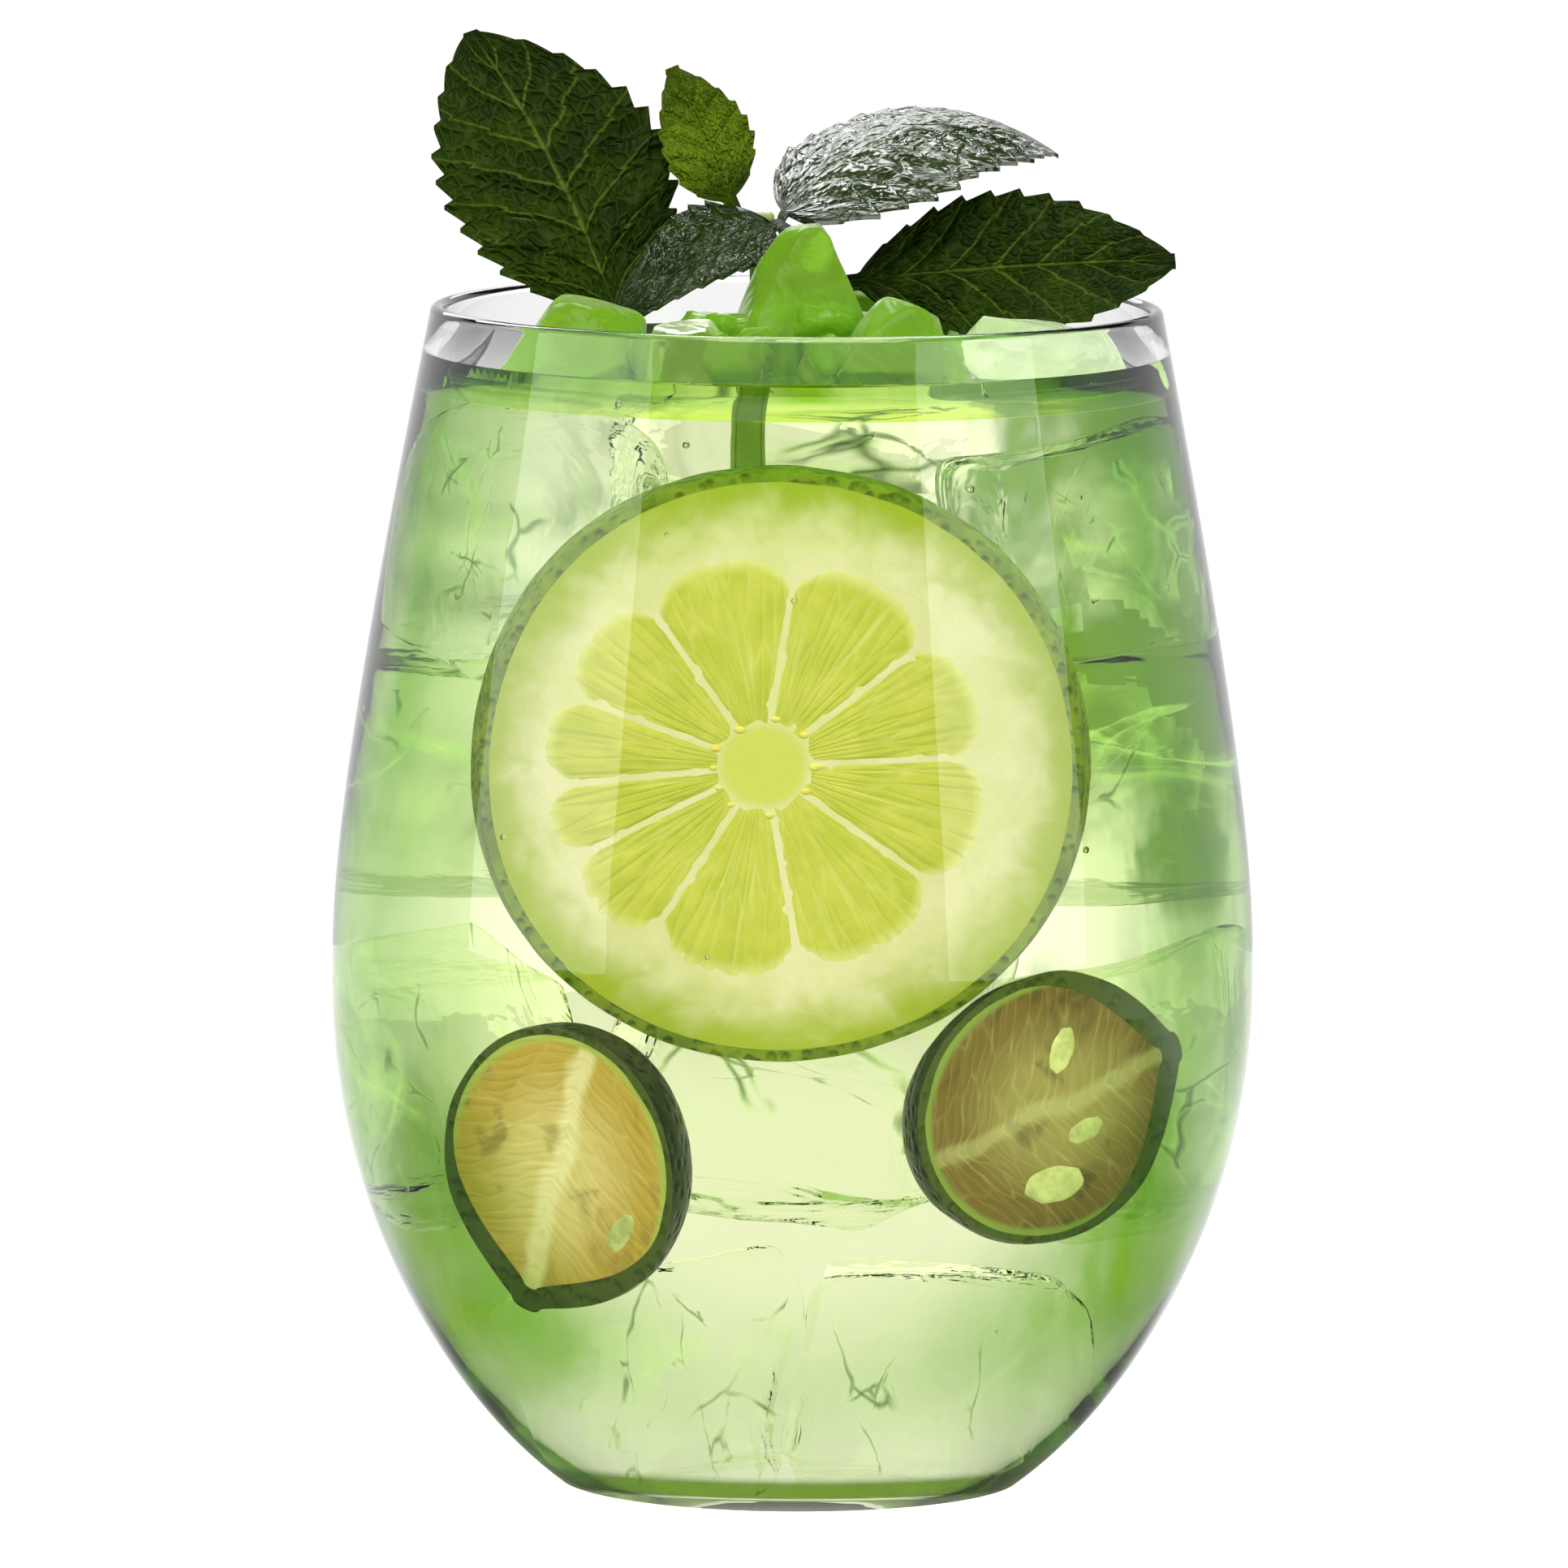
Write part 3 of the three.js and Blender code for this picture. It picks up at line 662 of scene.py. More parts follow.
@dataclass(frozen=True)
class PithFinish:
    """The pith of the slice: cream, turning green towards the rind.

    Args:
        name: the material's name.
        cream: colour next to the pulp.
        blotch: colour of its blotches.
        green: colour next to the rind.
        core: colour of the middle.
        inner: share of the radius where the green starts.
        outer: share of the radius where it is full.
        core_middle: middle of the core, in shares of the radius.
        core_reach: where the core's colour starts to fade and is gone.
        scale: blotches per metre.
        ragged: how far the green's inner edge strays, as a share of the radius.
        roughness: how dull it is.
        grain: depth of its grain in metres.
    """

    name: str
    cream: Colour
    blotch: Colour
    green: Colour
    core: Colour
    inner: float
    outer: float
    core_middle: Place = (-0.045, -0.01, 0.0)
    core_reach: Point = (0.11, 0.17)
    scale: float = 190.0
    ragged: float = 0.22
    roughness: float = 0.5
    grain: float = 0.2 * MM

    def build(self, effects: Effects) -> Material:
        """Builds the material.

        Args:
            effects: shared node groups.

        Returns:
            The material.
        """
        material, graph, shader, _ = new_material(self.name)
        mottle = graph.effect(effects.mottle, {"First": self.cream, "Second": self.blotch, "Scale": self.scale})
        flat = graph.place("UV")
        reach = graph.vectors("LENGTH", {0: flat}).outputs["Value"]
        stray = graph.math("MULTIPLY_ADD", graph.noise(flat, 9.0, 5.0, 0.5), self.ragged, reach)
        ring = graph.mix(graph.span(stray, self.inner, self.outer), mottle["Color"], self.green)
        aside = graph.vectors("DISTANCE", {0: flat, 1: self.core_middle}).outputs["Value"]
        core = graph.span(aside, *self.core_reach, 1.0, 0.0)
        graph.fill(shader, {"Base Color": graph.mix(core, ring, self.core), "Roughness": self.roughness,
                            "Specular IOR Level": WET_SHINE,
                            "Normal": graph.bump(graph.noise(flat, 40.0, 4.0), 0.3, self.grain)})
        return material


@dataclass(frozen=True)
class PulpFinish:
    """Citrus pulp: juice sacs with pale fibres.

    Args:
        name: the material's name.
        juice: colour of the sacs.
        deep: colour of the sacs' middles.
        fibre: colour of the fibres.
        sacs: sacs across a segment.
        scale: blotches per metre.
        pale_from: where along a segment its outer end starts to turn pale.
        roughness: how dull it is.
        relief: height of the sacs in metres.
    """

    name: str
    juice: Colour
    deep: Colour
    fibre: Colour
    sacs: float
    scale: float = 260.0
    pale_from: float = 0.9
    roughness: float = 0.25
    relief: float = 0.3 * MM

    def build(self, effects: Effects) -> Material:
        """Builds the material.

        Args:
            effects: shared node groups.

        Returns:
            The material.
        """
        material, graph, shader, _ = new_material(self.name)
        flat = graph.place("UV")
        sacs = graph.effect(effects.vesicles, {"Vector": flat, "Scale": self.sacs})
        mottle = graph.effect(effects.mottle, {"First": self.deep, "Second": self.juice, "Scale": self.scale})
        rim = graph.span(graph.split(flat)[1], self.pale_from, 1.0, 0.0, 0.7)
        pale = graph.math("MAXIMUM", graph.times(sacs["Fibre"], 0.45), rim)
        graph.fill(shader, {"Base Color": graph.mix(pale, mottle["Color"], self.fibre),
                            "Roughness": self.roughness, "Specular IOR Level": WET_SHINE,
                            "Normal": graph.bump(sacs["Height"], 0.3, self.relief)})
        return material


@dataclass(frozen=True)
class FleshFinish:
    """The cut face of a small lime, cut from stem to tip.

    Args:
        name: the material's name.
        middle: colour round the septum.
        edge: colour towards the peel.
        dark: colour of its darker blotches.
        septum: colour of the septum and of the fibres.
        ring: colour of the thin ring under the peel.
        split: width of the septum as a share of the half width.
        split_show: how much of the septum shows.
        sacs: juice sacs along the half.
        relief: height of the sacs in metres.
        wet: roughness of the sacs.
        dull: roughness of the fibres.
    """

    name: str
    middle: Colour
    edge: Colour
    dark: Colour
    septum: Colour
    ring: Colour
    split: float
    split_show: float
    sacs: float = 9.0
    relief: float = 0.3 * MM
    wet: float = 0.22
    dull: float = 0.4

    def build(self, effects: Effects) -> Material:
        """Builds the material.

        Args:
            effects: shared node groups.

        Returns:
            The material.
        """
        material, graph, shader, _ = new_material(self.name)
        flat = graph.place("UV")
        across, along = graph.split(flat)[:2]
        stray = graph.math("MULTIPLY_ADD", graph.noise(flat, 2.0, 2.0), 0.3, across)
        away = graph.math("ABSOLUTE", graph.math("SUBTRACT", stray, 0.15))
        reach = graph.vectors("LENGTH", {0: flat}).outputs["Value"]
        lean = graph.math("SUBTRACT", along, graph.times(away, 0.5))
        fan = graph.add("ShaderNodeCombineXYZ", {0: lean, 1: away}).outputs[0]
        sacs = graph.effect(effects.vesicles, {"Vector": fan, "Scale": self.sacs})
        body = graph.mix(graph.span(reach, 0.25, 0.85), self.middle, self.edge)
        blot = graph.span(graph.noise(flat, 2.6, 4.0, 0.8), 0.52, 0.72)
        body = graph.mix(graph.times(blot, 0.7), body, self.dark)
        body = graph.mix(graph.times(sacs["Fibre"], 0.25), body, self.septum)
        line = graph.inverse(graph.span(away, self.split * 0.3, self.split))
        body = graph.mix(graph.times(line, self.split_show), body, self.septum)
        graph.fill(shader, {"Base Color": graph.mix(graph.span(reach, 0.93, 0.985), body, self.ring),
                            "Roughness": graph.span(sacs["Fibre"], 0.0, 1.0, self.wet, self.dull),
                            "Specular IOR Level": WET_SHINE,
                            "Normal": graph.bump(sacs["Height"], 0.2, self.relief)})
        return material


@dataclass(frozen=True)
class LeafFinish:
    """A mint leaf.

    Args:
        name: the material's name.
        blade: colour of the blade.
        fresh: colour of its lighter patches.
        vein: colour of the veins.
        pairs: how many pairs of side veins.
        gloss: roughness of the raised parts.
        shine: how strongly it mirrors.
        quilt: depth of the quilting in metres.
        crinkle: how crumpled it is.
        vein_show: how much of the vein's colour shows.
        scale: blotches per metre.
        net_show: how much of the vein's colour shows in the fine net.
        patchy: how much duller its lighter patches are.
    """

    name: str
    blade: Colour
    fresh: Colour
    vein: Colour
    pairs: float
    gloss: float
    shine: float
    quilt: float
    crinkle: float
    vein_show: float
    scale: float = 160.0
    net_show: float = 0.12
    patchy: float = 0.15

    def build(self, effects: Effects) -> Material:
        """Builds the material.

        Args:
            effects: shared node groups.

        Returns:
            The material.
        """
        material, graph, shader, _ = new_material(self.name)
        flat = graph.place("UV")
        veins = graph.effect(effects.veins, {"Vector": flat, "Pairs": self.pairs})
        mottle = graph.effect(effects.mottle, {"First": self.blade, "Second": self.fresh, "Scale": self.scale})
        lines = graph.math("MAXIMUM", veins["Vein"], graph.times(veins["Net"], self.net_show))
        crumple = graph.noise(graph.stretch(flat, (1.0, 2.2, 1.0)), 4.5, 1.5, 0.8)
        height = graph.math("MULTIPLY_ADD", crumple, self.crinkle, veins["Height"])
        colour = graph.mix(graph.times(lines, self.vein_show), mottle["Color"], self.vein)
        rough = graph.span(mottle["Mask"], 0.0, 1.0, self.gloss, self.gloss + self.patchy)
        graph.fill(shader, {"Base Color": colour, "Roughness": rough, "Specular IOR Level": self.shine,
                            "Normal": graph.bump(height, 0.9, self.quilt)})
        return material


@dataclass(frozen=True)
class PlainFinish:
    """A dull finish with a grain: seeds and stem.

    Args:
        name: the material's name.
        first: main colour.
        second: colour of its blotches.
        scale: blotches per metre.
        roughness: how dull it is.
        relief: height of the grain in metres.
    """

    name: str
    first: Colour
    second: Colour
    scale: float
    roughness: float
    relief: float = 0.2 * MM

    def build(self, effects: Effects) -> Material:
        """Builds the material.

        Args:
            effects: shared node groups.

        Returns:
            The material.
        """
        material, graph, shader, _ = new_material(self.name)
        inputs = {"First": self.first, "Second": self.second, "Scale": self.scale}
        mottle = graph.effect(effects.mottle, inputs)
        graph.fill(shader, {"Base Color": mottle["Color"], "Roughness": self.roughness,
                            "Normal": graph.bump(mottle["Mask"], 0.4, self.relief)})
        return material


@dataclass(frozen=True)
class CrackFinish:
    """Cracks and veils inside the ice: pale wisps with thin dark lines between them.

    Args:
        name: the material's name.
        pale: colour of the wisps.
        dark: colour of the lines.
        wisp_scale: wisps per metre.
        wisp_show: how much of the wisps shows.
        line_scale: cells per metre between the lines.
        line_width: width of a line as a share of a cell.
        line_show: how much of the lines shows.
        stray: how far the lines stray, in metres.
        roughness: how dull it is.
    """

    name: str
    pale: Colour
    dark: Colour
    wisp_scale: float
    wisp_show: float
    line_scale: float
    line_width: float
    line_show: float
    stray: float = 6 * MM
    roughness: float = 0.4

    def build(self, effects: Effects) -> Material:
        """Builds the material.

        Args:
            effects: shared node groups.

        Returns:
            The material.
        """
        material, graph, shader, _ = new_material(self.name)
        place = graph.place()
        frost = graph.effect(effects.frost, {"Scale": self.wisp_scale})
        swirl = graph.add("ShaderNodeTexNoise", {"Vector": place, "Scale": 120.0}).outputs[1]
        warp = graph.vectors("SCALE", {0: swirl, 3: self.stray}).outputs[0]
        bent = graph.vectors("ADD", {0: place, 1: warp}).outputs[0]
        edge = graph.cells(bent, self.line_scale, "DISTANCE_TO_EDGE")
        line = graph.times(graph.inverse(graph.span(edge, 0.0, self.line_width)),
                           graph.span(graph.noise(place, 130.0, 2.0), 0.42, 0.6))
        wisp = graph.times(frost["Mask"], self.wisp_show)
        show = graph.math("MAXIMUM", graph.times(line, self.line_show), wisp)
        graph.fill(shader, {"Base Color": graph.mix(line, self.pale, self.dark), "Alpha": show,
                            "Roughness": self.roughness})
        return material


GLASS = ClearFinish("clear_glass", (1.0, 1.0, 1.0), GLASS_BEND, 45.0, 0.00006, 0.012, rim=(0.86, 0.89, 0.83),
                    rim_from=0.78)
WET_GLASS = replace(GLASS, name="wet_glass", ior=GLASS_BEND / DRINK_BEND)
UNDER_GLASS = replace(GLASS, name="under_glass", ior=NO_BEND)
# The drink's far colour is painted shade: dark drifts on its far side.
# The drink's rim colour is partly its deeper colour at slants and partly painted shade of the dim room seen
# through its edges.
# The drink's sole colour is painted shade: a dark ring round its lower edge.
DRINK = ClearFinish("lime_drink", (0.98, 1.0, 0.88), DRINK_BEND, 60.0, 0.00002, 0.0, soak=(0.86, 0.97, 0.06),
                    density=5.2, rim=(0.18, 0.45, 0.002), rim_from=0.07, rim_full=0.22, rim_above=0.006,
                    far=(0.03, 0.1, 0.002), sole=(0.06, 0.15, 0.004))
DRINK_SIDE = replace(DRINK, name="lime_drink_side", ior=NO_BEND)
ICE = ClearFinish("melting_ice", (0.98, 1.0, 0.95), 1.012, 110.0, 0.0016, 0.25, rim=(0.8, 0.92, 0.6),
                  rim_from=0.6)
GREEN_ICE = ClearFinish("green_ice", (0.93, 0.98, 0.84), 1.015, 110.0, 0.0016, 0.25, soak=(0.5, 0.8, 0.02),
                        density=6.0, rim=(0.6, 0.8, 0.3), rim_from=0.55)
CRUSHED = ClearFinish("crushed_ice", (0.31, 0.57, 0.035), 1.2, 140.0, 0.0012, 0.6, clear=0.25,
                      rim=(0.75, 0.88, 0.4), rim_from=0.6, soak=(0.5, 0.84, 0.06), density=30.0, body=0.4)
PALE_CHIP = ClearFinish("pale_chip", (0.82, 0.93, 0.62), 1.2, 140.0, 0.0012, 0.6, clear=0.2,
                        rim=(0.9, 0.96, 0.8), rim_from=0.6, body=0.35)
CRACK = CrackFinish("ice_crack", (0.82, 0.95, 0.62), (0.05, 0.14, 0.015), 150.0, 0.42, 95.0, 0.05, 0.75)
BUBBLE = ClearFinish("bubble", (1.0, 1.0, 1.0), 0.75, 300.0, 0.00001, 0.0)
RIND = PeelFinish("slice_rind", (0.1, 0.16, 0.008), (0.2, 0.27, 0.02), 220.0, 900.0, 0.0004, 0.35,
                  cut=(0.17, 0.24, 0.012))
PEEL = PeelFinish("lime_peel", (0.006, 0.014, 0.002), (0.02, 0.045, 0.007), 120.0, 700.0, 0.0005, 0.28)
PITH = PithFinish("slice_pith", (0.63, 0.58, 0.42), (0.56, 0.54, 0.3), (0.3, 0.36, 0.03), (0.5, 0.5, 0.12),
                  0.84, 1.08)
PULP = PulpFinish("slice_pulp", (0.48, 0.47, 0.088), (0.4, 0.415, 0.055), (0.62, 0.6, 0.28), 7.0)
FLESH = FleshFinish("lime_flesh", (0.62, 0.5, 0.19), (0.45, 0.31, 0.045), (0.22, 0.16, 0.025),
                    (0.82, 0.76, 0.45), (0.36, 0.42, 0.08), 0.16, 0.6)
# The right half's flesh is the same lime flesh painted darker: painted shade.
FLESH_SHADED = FleshFinish("lime_flesh_shaded", (0.29, 0.25, 0.07), (0.16, 0.11, 0.018), (0.045, 0.035, 0.006),
                         (0.6, 0.62, 0.26), (0.2, 0.28, 0.045), 0.12, 0.3)
DOTS = PlainFinish("membrane_ends", (0.62, 0.5, 0.08), (0.75, 0.66, 0.16), 900.0, 0.4)
SEED = PlainFinish("lime_seed", (0.3, 0.34, 0.08), (0.6, 0.64, 0.24), 260.0, 0.35)
LEAF = LeafFinish("mint_leaf", (0.009, 0.023, 0.001), (0.025, 0.053, 0.001), (0.2, 0.27, 0.03), 7.0, 0.5,
                  0.08, 0.0011, 0.4, 0.5)
GLOSSY_LEAF = LeafFinish("mint_leaf_glossy", (0.008, 0.022, 0.002), (0.024, 0.048, 0.005), (0.1, 0.16, 0.04),
                         8.0, 0.1, 1.0, 0.0003, 6.0, 0.3)
SMALL_LEAF = replace(GLOSSY_LEAF, name="mint_leaf_small", shine=0.45)
YOUNG_LEAF = LeafFinish("mint_leaf_young", (0.03, 0.07, 0.001), (0.13, 0.21, 0.005), (0.28, 0.35, 0.02), 6.0,
                        0.45, 0.1, 0.0009, 0.3, 0.5)
STEM = PlainFinish("mint_stem", (0.22, 0.34, 0.06), (0.32, 0.44, 0.09), 200.0, 0.5)


# Meshes


def bezier(points: Sequence[Point], steps: int) -> list[Point]:
    """Points on a cubic curve.

    Args:
        points: its four control points.
        steps: how many stretches.

    Returns:
        The points, both ends with them.
    """
    curve = []
    for step in range(steps + 1):
        t = step / steps
        weights = ((1 - t) ** 3, 3 * t * (1 - t) ** 2, 3 * t * t * (1 - t), t ** 3)
        curve.append(tuple(sum(w * p[axis] for w, p in zip(weights, points)) for axis in (0, 1)))
    return curve


def joined(*stretches: Sequence[Point]) -> list[Point]:
    """Joins stretches of a profile and drops doubled points.

    Args:
        stretches: the stretches in order.

    Returns:
        One profile.
    """
    line: list[Point] = []
    for stretch in stretches:
        for point in stretch:
            if not line or math.dist(line[-1], point) > TINY:
                line.append(point)
    return line


def spin_profile(bm: Mesh, profile: Sequence[Point], steps: int,
                 angle: float = math.tau) -> None:
    """Turns a profile of radius and height round Z.

    Args:
        bm: where it goes.
        profile: the profile.
        steps: sides of the turn.
        angle: how far it turns.
    """
    verts = [bm.verts.new((radius, 0.0, height)) for radius, height in profile]
    edges = [bm.edges.new(pair) for pair in zip(verts, verts[1:])]
    whole = angle > math.tau - TINY
    bmesh.ops.spin(bm, geom=verts + edges, cent=(0, 0, 0), axis=(0, 0, 1), angle=angle, steps=steps,
                   use_merge=whole)
    bmesh.ops.remove_doubles(bm, verts=bm.verts, dist=TINY)


def rough_up(bm: Mesh, scale: float, depth: float, seed: float) -> None:
    """Moves a surface in and out by a smooth noise.

    Args:
        bm: the mesh.
        scale: waves per metre.
        depth: how far it moves, in metres.
        seed: shifts the noise.
    """
    bm.normal_update()
    shift = Vector((seed, 2.0 * seed, -seed))
    moves = [(vert, vert.normal * (depth * noise.noise(vert.co * scale + shift))) for vert in bm.verts]
    for vert, move in moves:
        vert.co += move


def as_object(bm: Mesh, name: str, materials: Sequence[Material], sharp: float = 180.0,
              ) -> bpy.types.Object:
    """Makes an object of a mesh.

    Args:
        bm: the mesh, freed here.
        name: the object's name.
        materials: its materials in order.
        sharp: edges sharper than this many degrees stay hard.

    Returns:
        The object.
    """
    bmesh.ops.recalc_face_normals(bm, faces=bm.faces)
    mesh = bpy.data.meshes.new(name)
    bm.to_mesh(mesh)
    bm.free()
    mesh.shade_smooth()
    if sharp < 180.0:
        mesh.set_sharp_from_angle(angle=math.radians(sharp))
    for material in materials:
        mesh.materials.append(material)
    thing = bpy.data.objects.new(name, mesh)
    bpy.context.scene.collection.objects.link(thing)
    return thing


def lay_flat(bm: Mesh, name: str, faces: Iterable[bmesh.types.BMFace],
             spot: Callable[[Vector], Point]) -> None:
    """Gives faces a UV map.

    Args:
        bm: the mesh.
        name: the map's name.
        faces: the faces.
        spot: a corner's place in the map, from its place in the mesh.
    """
    where = bm.loops.layers.uv.new(name)
    for face in faces:
        for loop in face.loops:
            loop[where].uv = spot(loop.vert.co)


def cad_copy(node: str) -> Mesh:
    """A copy of a CAD node's mesh, merged.

    Args:
        node: the node's name.

    Returns:
        The copy.
    """
    bm = bmesh.new()
    bm.from_mesh(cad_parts[node].data)
    bmesh.ops.remove_doubles(bm, verts=bm.verts, dist=TINY)
    return bm


def join_flats(bm: Mesh) -> None:
    """Joins the triangles of each flat face."""
    bmesh.ops.dissolve_limit(bm, angle_limit=math.radians(FLAT_ANGLE), verts=bm.verts, edges=bm.edges)


def soften(thing: bpy.types.Object, levels: int) -> None:
    """Rounds a piece by a live subdivision.

    Args:
        thing: the piece.
        levels: how often each face is split.
    """
    soft = thing.modifiers.new("soft", "SUBSURF")
    soft.levels = soft.render_levels = levels


def centre(bm: Mesh) -> Vector:
    """Middle of a mesh's box.

    Args:
        bm: the mesh.

    Returns:
        The place.
    """
    ends = [[pick(vert.co[axis] for vert in bm.verts) for pick in (min, max)] for axis in range(3)]
    return Vector(sum(pair) / 2 for pair in ends)


def node_centre(node: str) -> Vector:
    """Middle of a CAD node's box."""
    return sum(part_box(node), Vector()) / 2


def seat_on(bm: Mesh, node: str) -> Vector:
    """Moves a mesh so that the middle of its box falls on that of a CAD node.

    Args:
        bm: the mesh.
        node: the node's name.

    Returns:
        How far it was moved.
    """
    move = node_centre(node) - centre(bm)
    bmesh.ops.translate(bm, verts=bm.verts, vec=move)
    return move


def settle(thing: bpy.types.Object, body: Body, nodes: Sequence[str] = ()) -> None:
    """Puts a piece on its body and reports it.

    Args:
        thing: the piece.
        body: the body that carries it.
        nodes: CAD nodes that it stands for.
    """
    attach(thing, body.value)
    if nodes:
        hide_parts(*nodes)
    LOG.info("%s built on %s", thing.name, body.value)


# The glass and the drink


@dataclass
class Tumbler:
    """The stemless tumbler.

    Args:
        height: of the rim.
        rim_radius: outside, at the rim.
        belly_radius: outside, at the widest place.
        belly_height: of the widest place.
        foot_radius: outside, where it stands.
        foot_ring: width of the ring that it stands on.
        punt: how far the middle of the foot is raised.
        rim_wall: thickness at the rim.
        belly_wall: thickness at the widest place.
        floor: thickness of the bottom.
        floor_radius: of the inside at the bottom.
        rim_lean: degrees that the wall leans in at the rim.
        heel_rise: degrees that the wall rises at the foot.
        heel: rounding of the foot's edges.
        sides: sides of the turn.
        steps: stretches of each curve.
        low_handles: how far the lower side keeps its direction at the foot and at the belly, in shares.
        high_handles: the same of the upper side, at the belly and at the rim.
        level_from: how far up a face looks that counts as the floor.
        under_from: how far down a face looks that counts as the underside.
    """

    height: float = 120 * MM
    rim_radius: float = 36.5 * MM
    belly_radius: float = 46 * MM
    belly_height: float = 52 * MM
    foot_radius: float = 19.6 * MM
    foot_ring: float = 4.5 * MM
    punt: float = 1.2 * MM
    rim_wall: float = 1.5 * MM
    belly_wall: float = 1.9 * MM
    floor: float = 5.2 * MM
    floor_radius: float = 18.5 * MM
    rim_lean: float = 11.0
    heel_rise: float = 30.0
    heel: float = 0.6 * MM
    sides: int = 160
    steps: int = 36
    low_handles: Point = (0.31, 0.44)
    high_handles: Point = (0.15, 0.72)
    level_from: float = 0.5
    under_from: float = -0.6

    def lower_side(self, belly: float, foot: float, bottom: float) -> list[Point]:
        """The wall from its bottom to the belly.

        Args:
            belly: radius at the belly.
            foot: radius at the bottom.
            bottom: height of the bottom.

        Returns:
            Points from the bottom up.
        """
        drop = self.belly_height - bottom
        reach, rise = self.low_handles[0] * drop, math.radians(self.heel_rise)
        return bezier([(foot, bottom), (foot + reach * math.cos(rise), bottom + reach * math.sin(rise)),
                       (belly, self.belly_height - self.low_handles[1] * drop), (belly, self.belly_height)],
                      self.steps)

    def upper_side(self, belly: float, rim: float, top: float) -> list[Point]:
        """The wall from the belly to the rim.

        Args:
            belly: radius at the belly.
            rim: radius at the top.
            top: height of the top.

        Returns:
            Points from the belly up.
        """
        rise = top - self.belly_height
        reach, lean = self.high_handles[1] * rise, math.radians(self.rim_lean)
        return bezier([(belly, self.belly_height), (belly, self.belly_height + self.high_handles[0] * rise),
                       (rim + reach * math.sin(lean), top - reach * math.cos(lean)), (rim, top)], self.steps)

    def inside(self, grow: float = 0.0) -> list[Point]:
        """The inner wall.

        Args:
            grow: how far outside it the points lie.

        Returns:
            Points from the middle of the floor to the lip.
        """
        lip = self.rim_wall / 2
        belly, rim = self.belly_radius - self.belly_wall, self.rim_radius - self.rim_wall
        return joined([(0.0, self.floor - grow)],
                      self.lower_side(belly + grow, self.floor_radius + grow / 2, self.floor - grow),
                      self.upper_side(belly + grow, rim + grow, self.height - lip))

    def outside(self) -> list[Point]:
        """The outer wall.

        Returns:
            Points from the middle of the foot to the lip.
        """
        ring = self.foot_radius - self.foot_ring
        punt = bezier([(0.0, self.punt), (ring * 0.4, self.punt), (ring * 0.75, self.punt * 0.6), (ring, 0.0)],
                      self.steps // 3)
        side = self.lower_side(self.belly_radius, self.foot_radius, 0.0)
        turn = math.radians(self.heel_rise)
        soft = [(self.foot_radius - self.heel, 0.0),
                (self.foot_radius - 0.3 * self.heel, 0.08 * self.heel),
                (self.foot_radius + 0.35 * self.heel, 0.08 * self.heel + 0.45 * self.heel * math.sin(turn))]
        upper = self.upper_side(self.belly_radius, self.rim_radius, self.height - self.rim_wall / 2)
        return joined(punt, soft, side[1:], upper)

    def wall_at(self, height: float) -> float:
        """Radius of the inner wall.

        Args:
            height: where.

        Returns:
            The radius.
        """
        wall = self.inside()
        for (r0, z0), (r1, z1) in zip(wall[1:], wall[2:]):
            if z0 <= height <= z1:
                return r0 + (r1 - r0) * (height - z0) / (z1 - z0)
        return wall[-1][0]

    def _finish_of(self, face: bmesh.types.BMFace, level: float) -> int:
        """Number of a face's finish.

        Args:
            face: the face.
            level: how high the drink stands.

        Returns:
            0 for dry glass, 1 where the drink stands against it, 2 for the underside.
        """
        spot, out = face.calc_center_median(), face.normal
        if out.z < self.under_from and spot.z < self.floor / 2:
            return 2
        inner = out.z > self.level_from or out.z > self.under_from and spot.xy.dot(out.xy) < 0
        return int(inner and max(vert.co.z for vert in face.verts) < level)

    def build(self, dry: Material, wet: Material, under: Material, level: float) -> None:
        """Builds the tumbler.

        Args:
            dry: its finish.
            wet: finish of the inner wall where the drink stands against it.
            under: finish of its underside, close to what it stands on.
            level: how high the drink stands.
        """
        lip, turns = self.rim_wall / 2, self.steps // 3
        top = [(self.rim_radius - lip + lip * math.cos(turn), self.height - lip + lip * math.sin(turn))
               for turn in (math.pi * step / turns for step in range(turns + 1))]
        bm = bmesh.new()
        spin_profile(bm, joined(self.outside(), top, self.inside()[::-1]), self.sides)
        bmesh.ops.recalc_face_normals(bm, faces=bm.faces)
        for face in bm.faces:
            face.material_index = self._finish_of(face, level)
        settle(as_object(bm, "tumbler", [dry, wet, under]), Body.GLASS, ["glass_tumbler"])


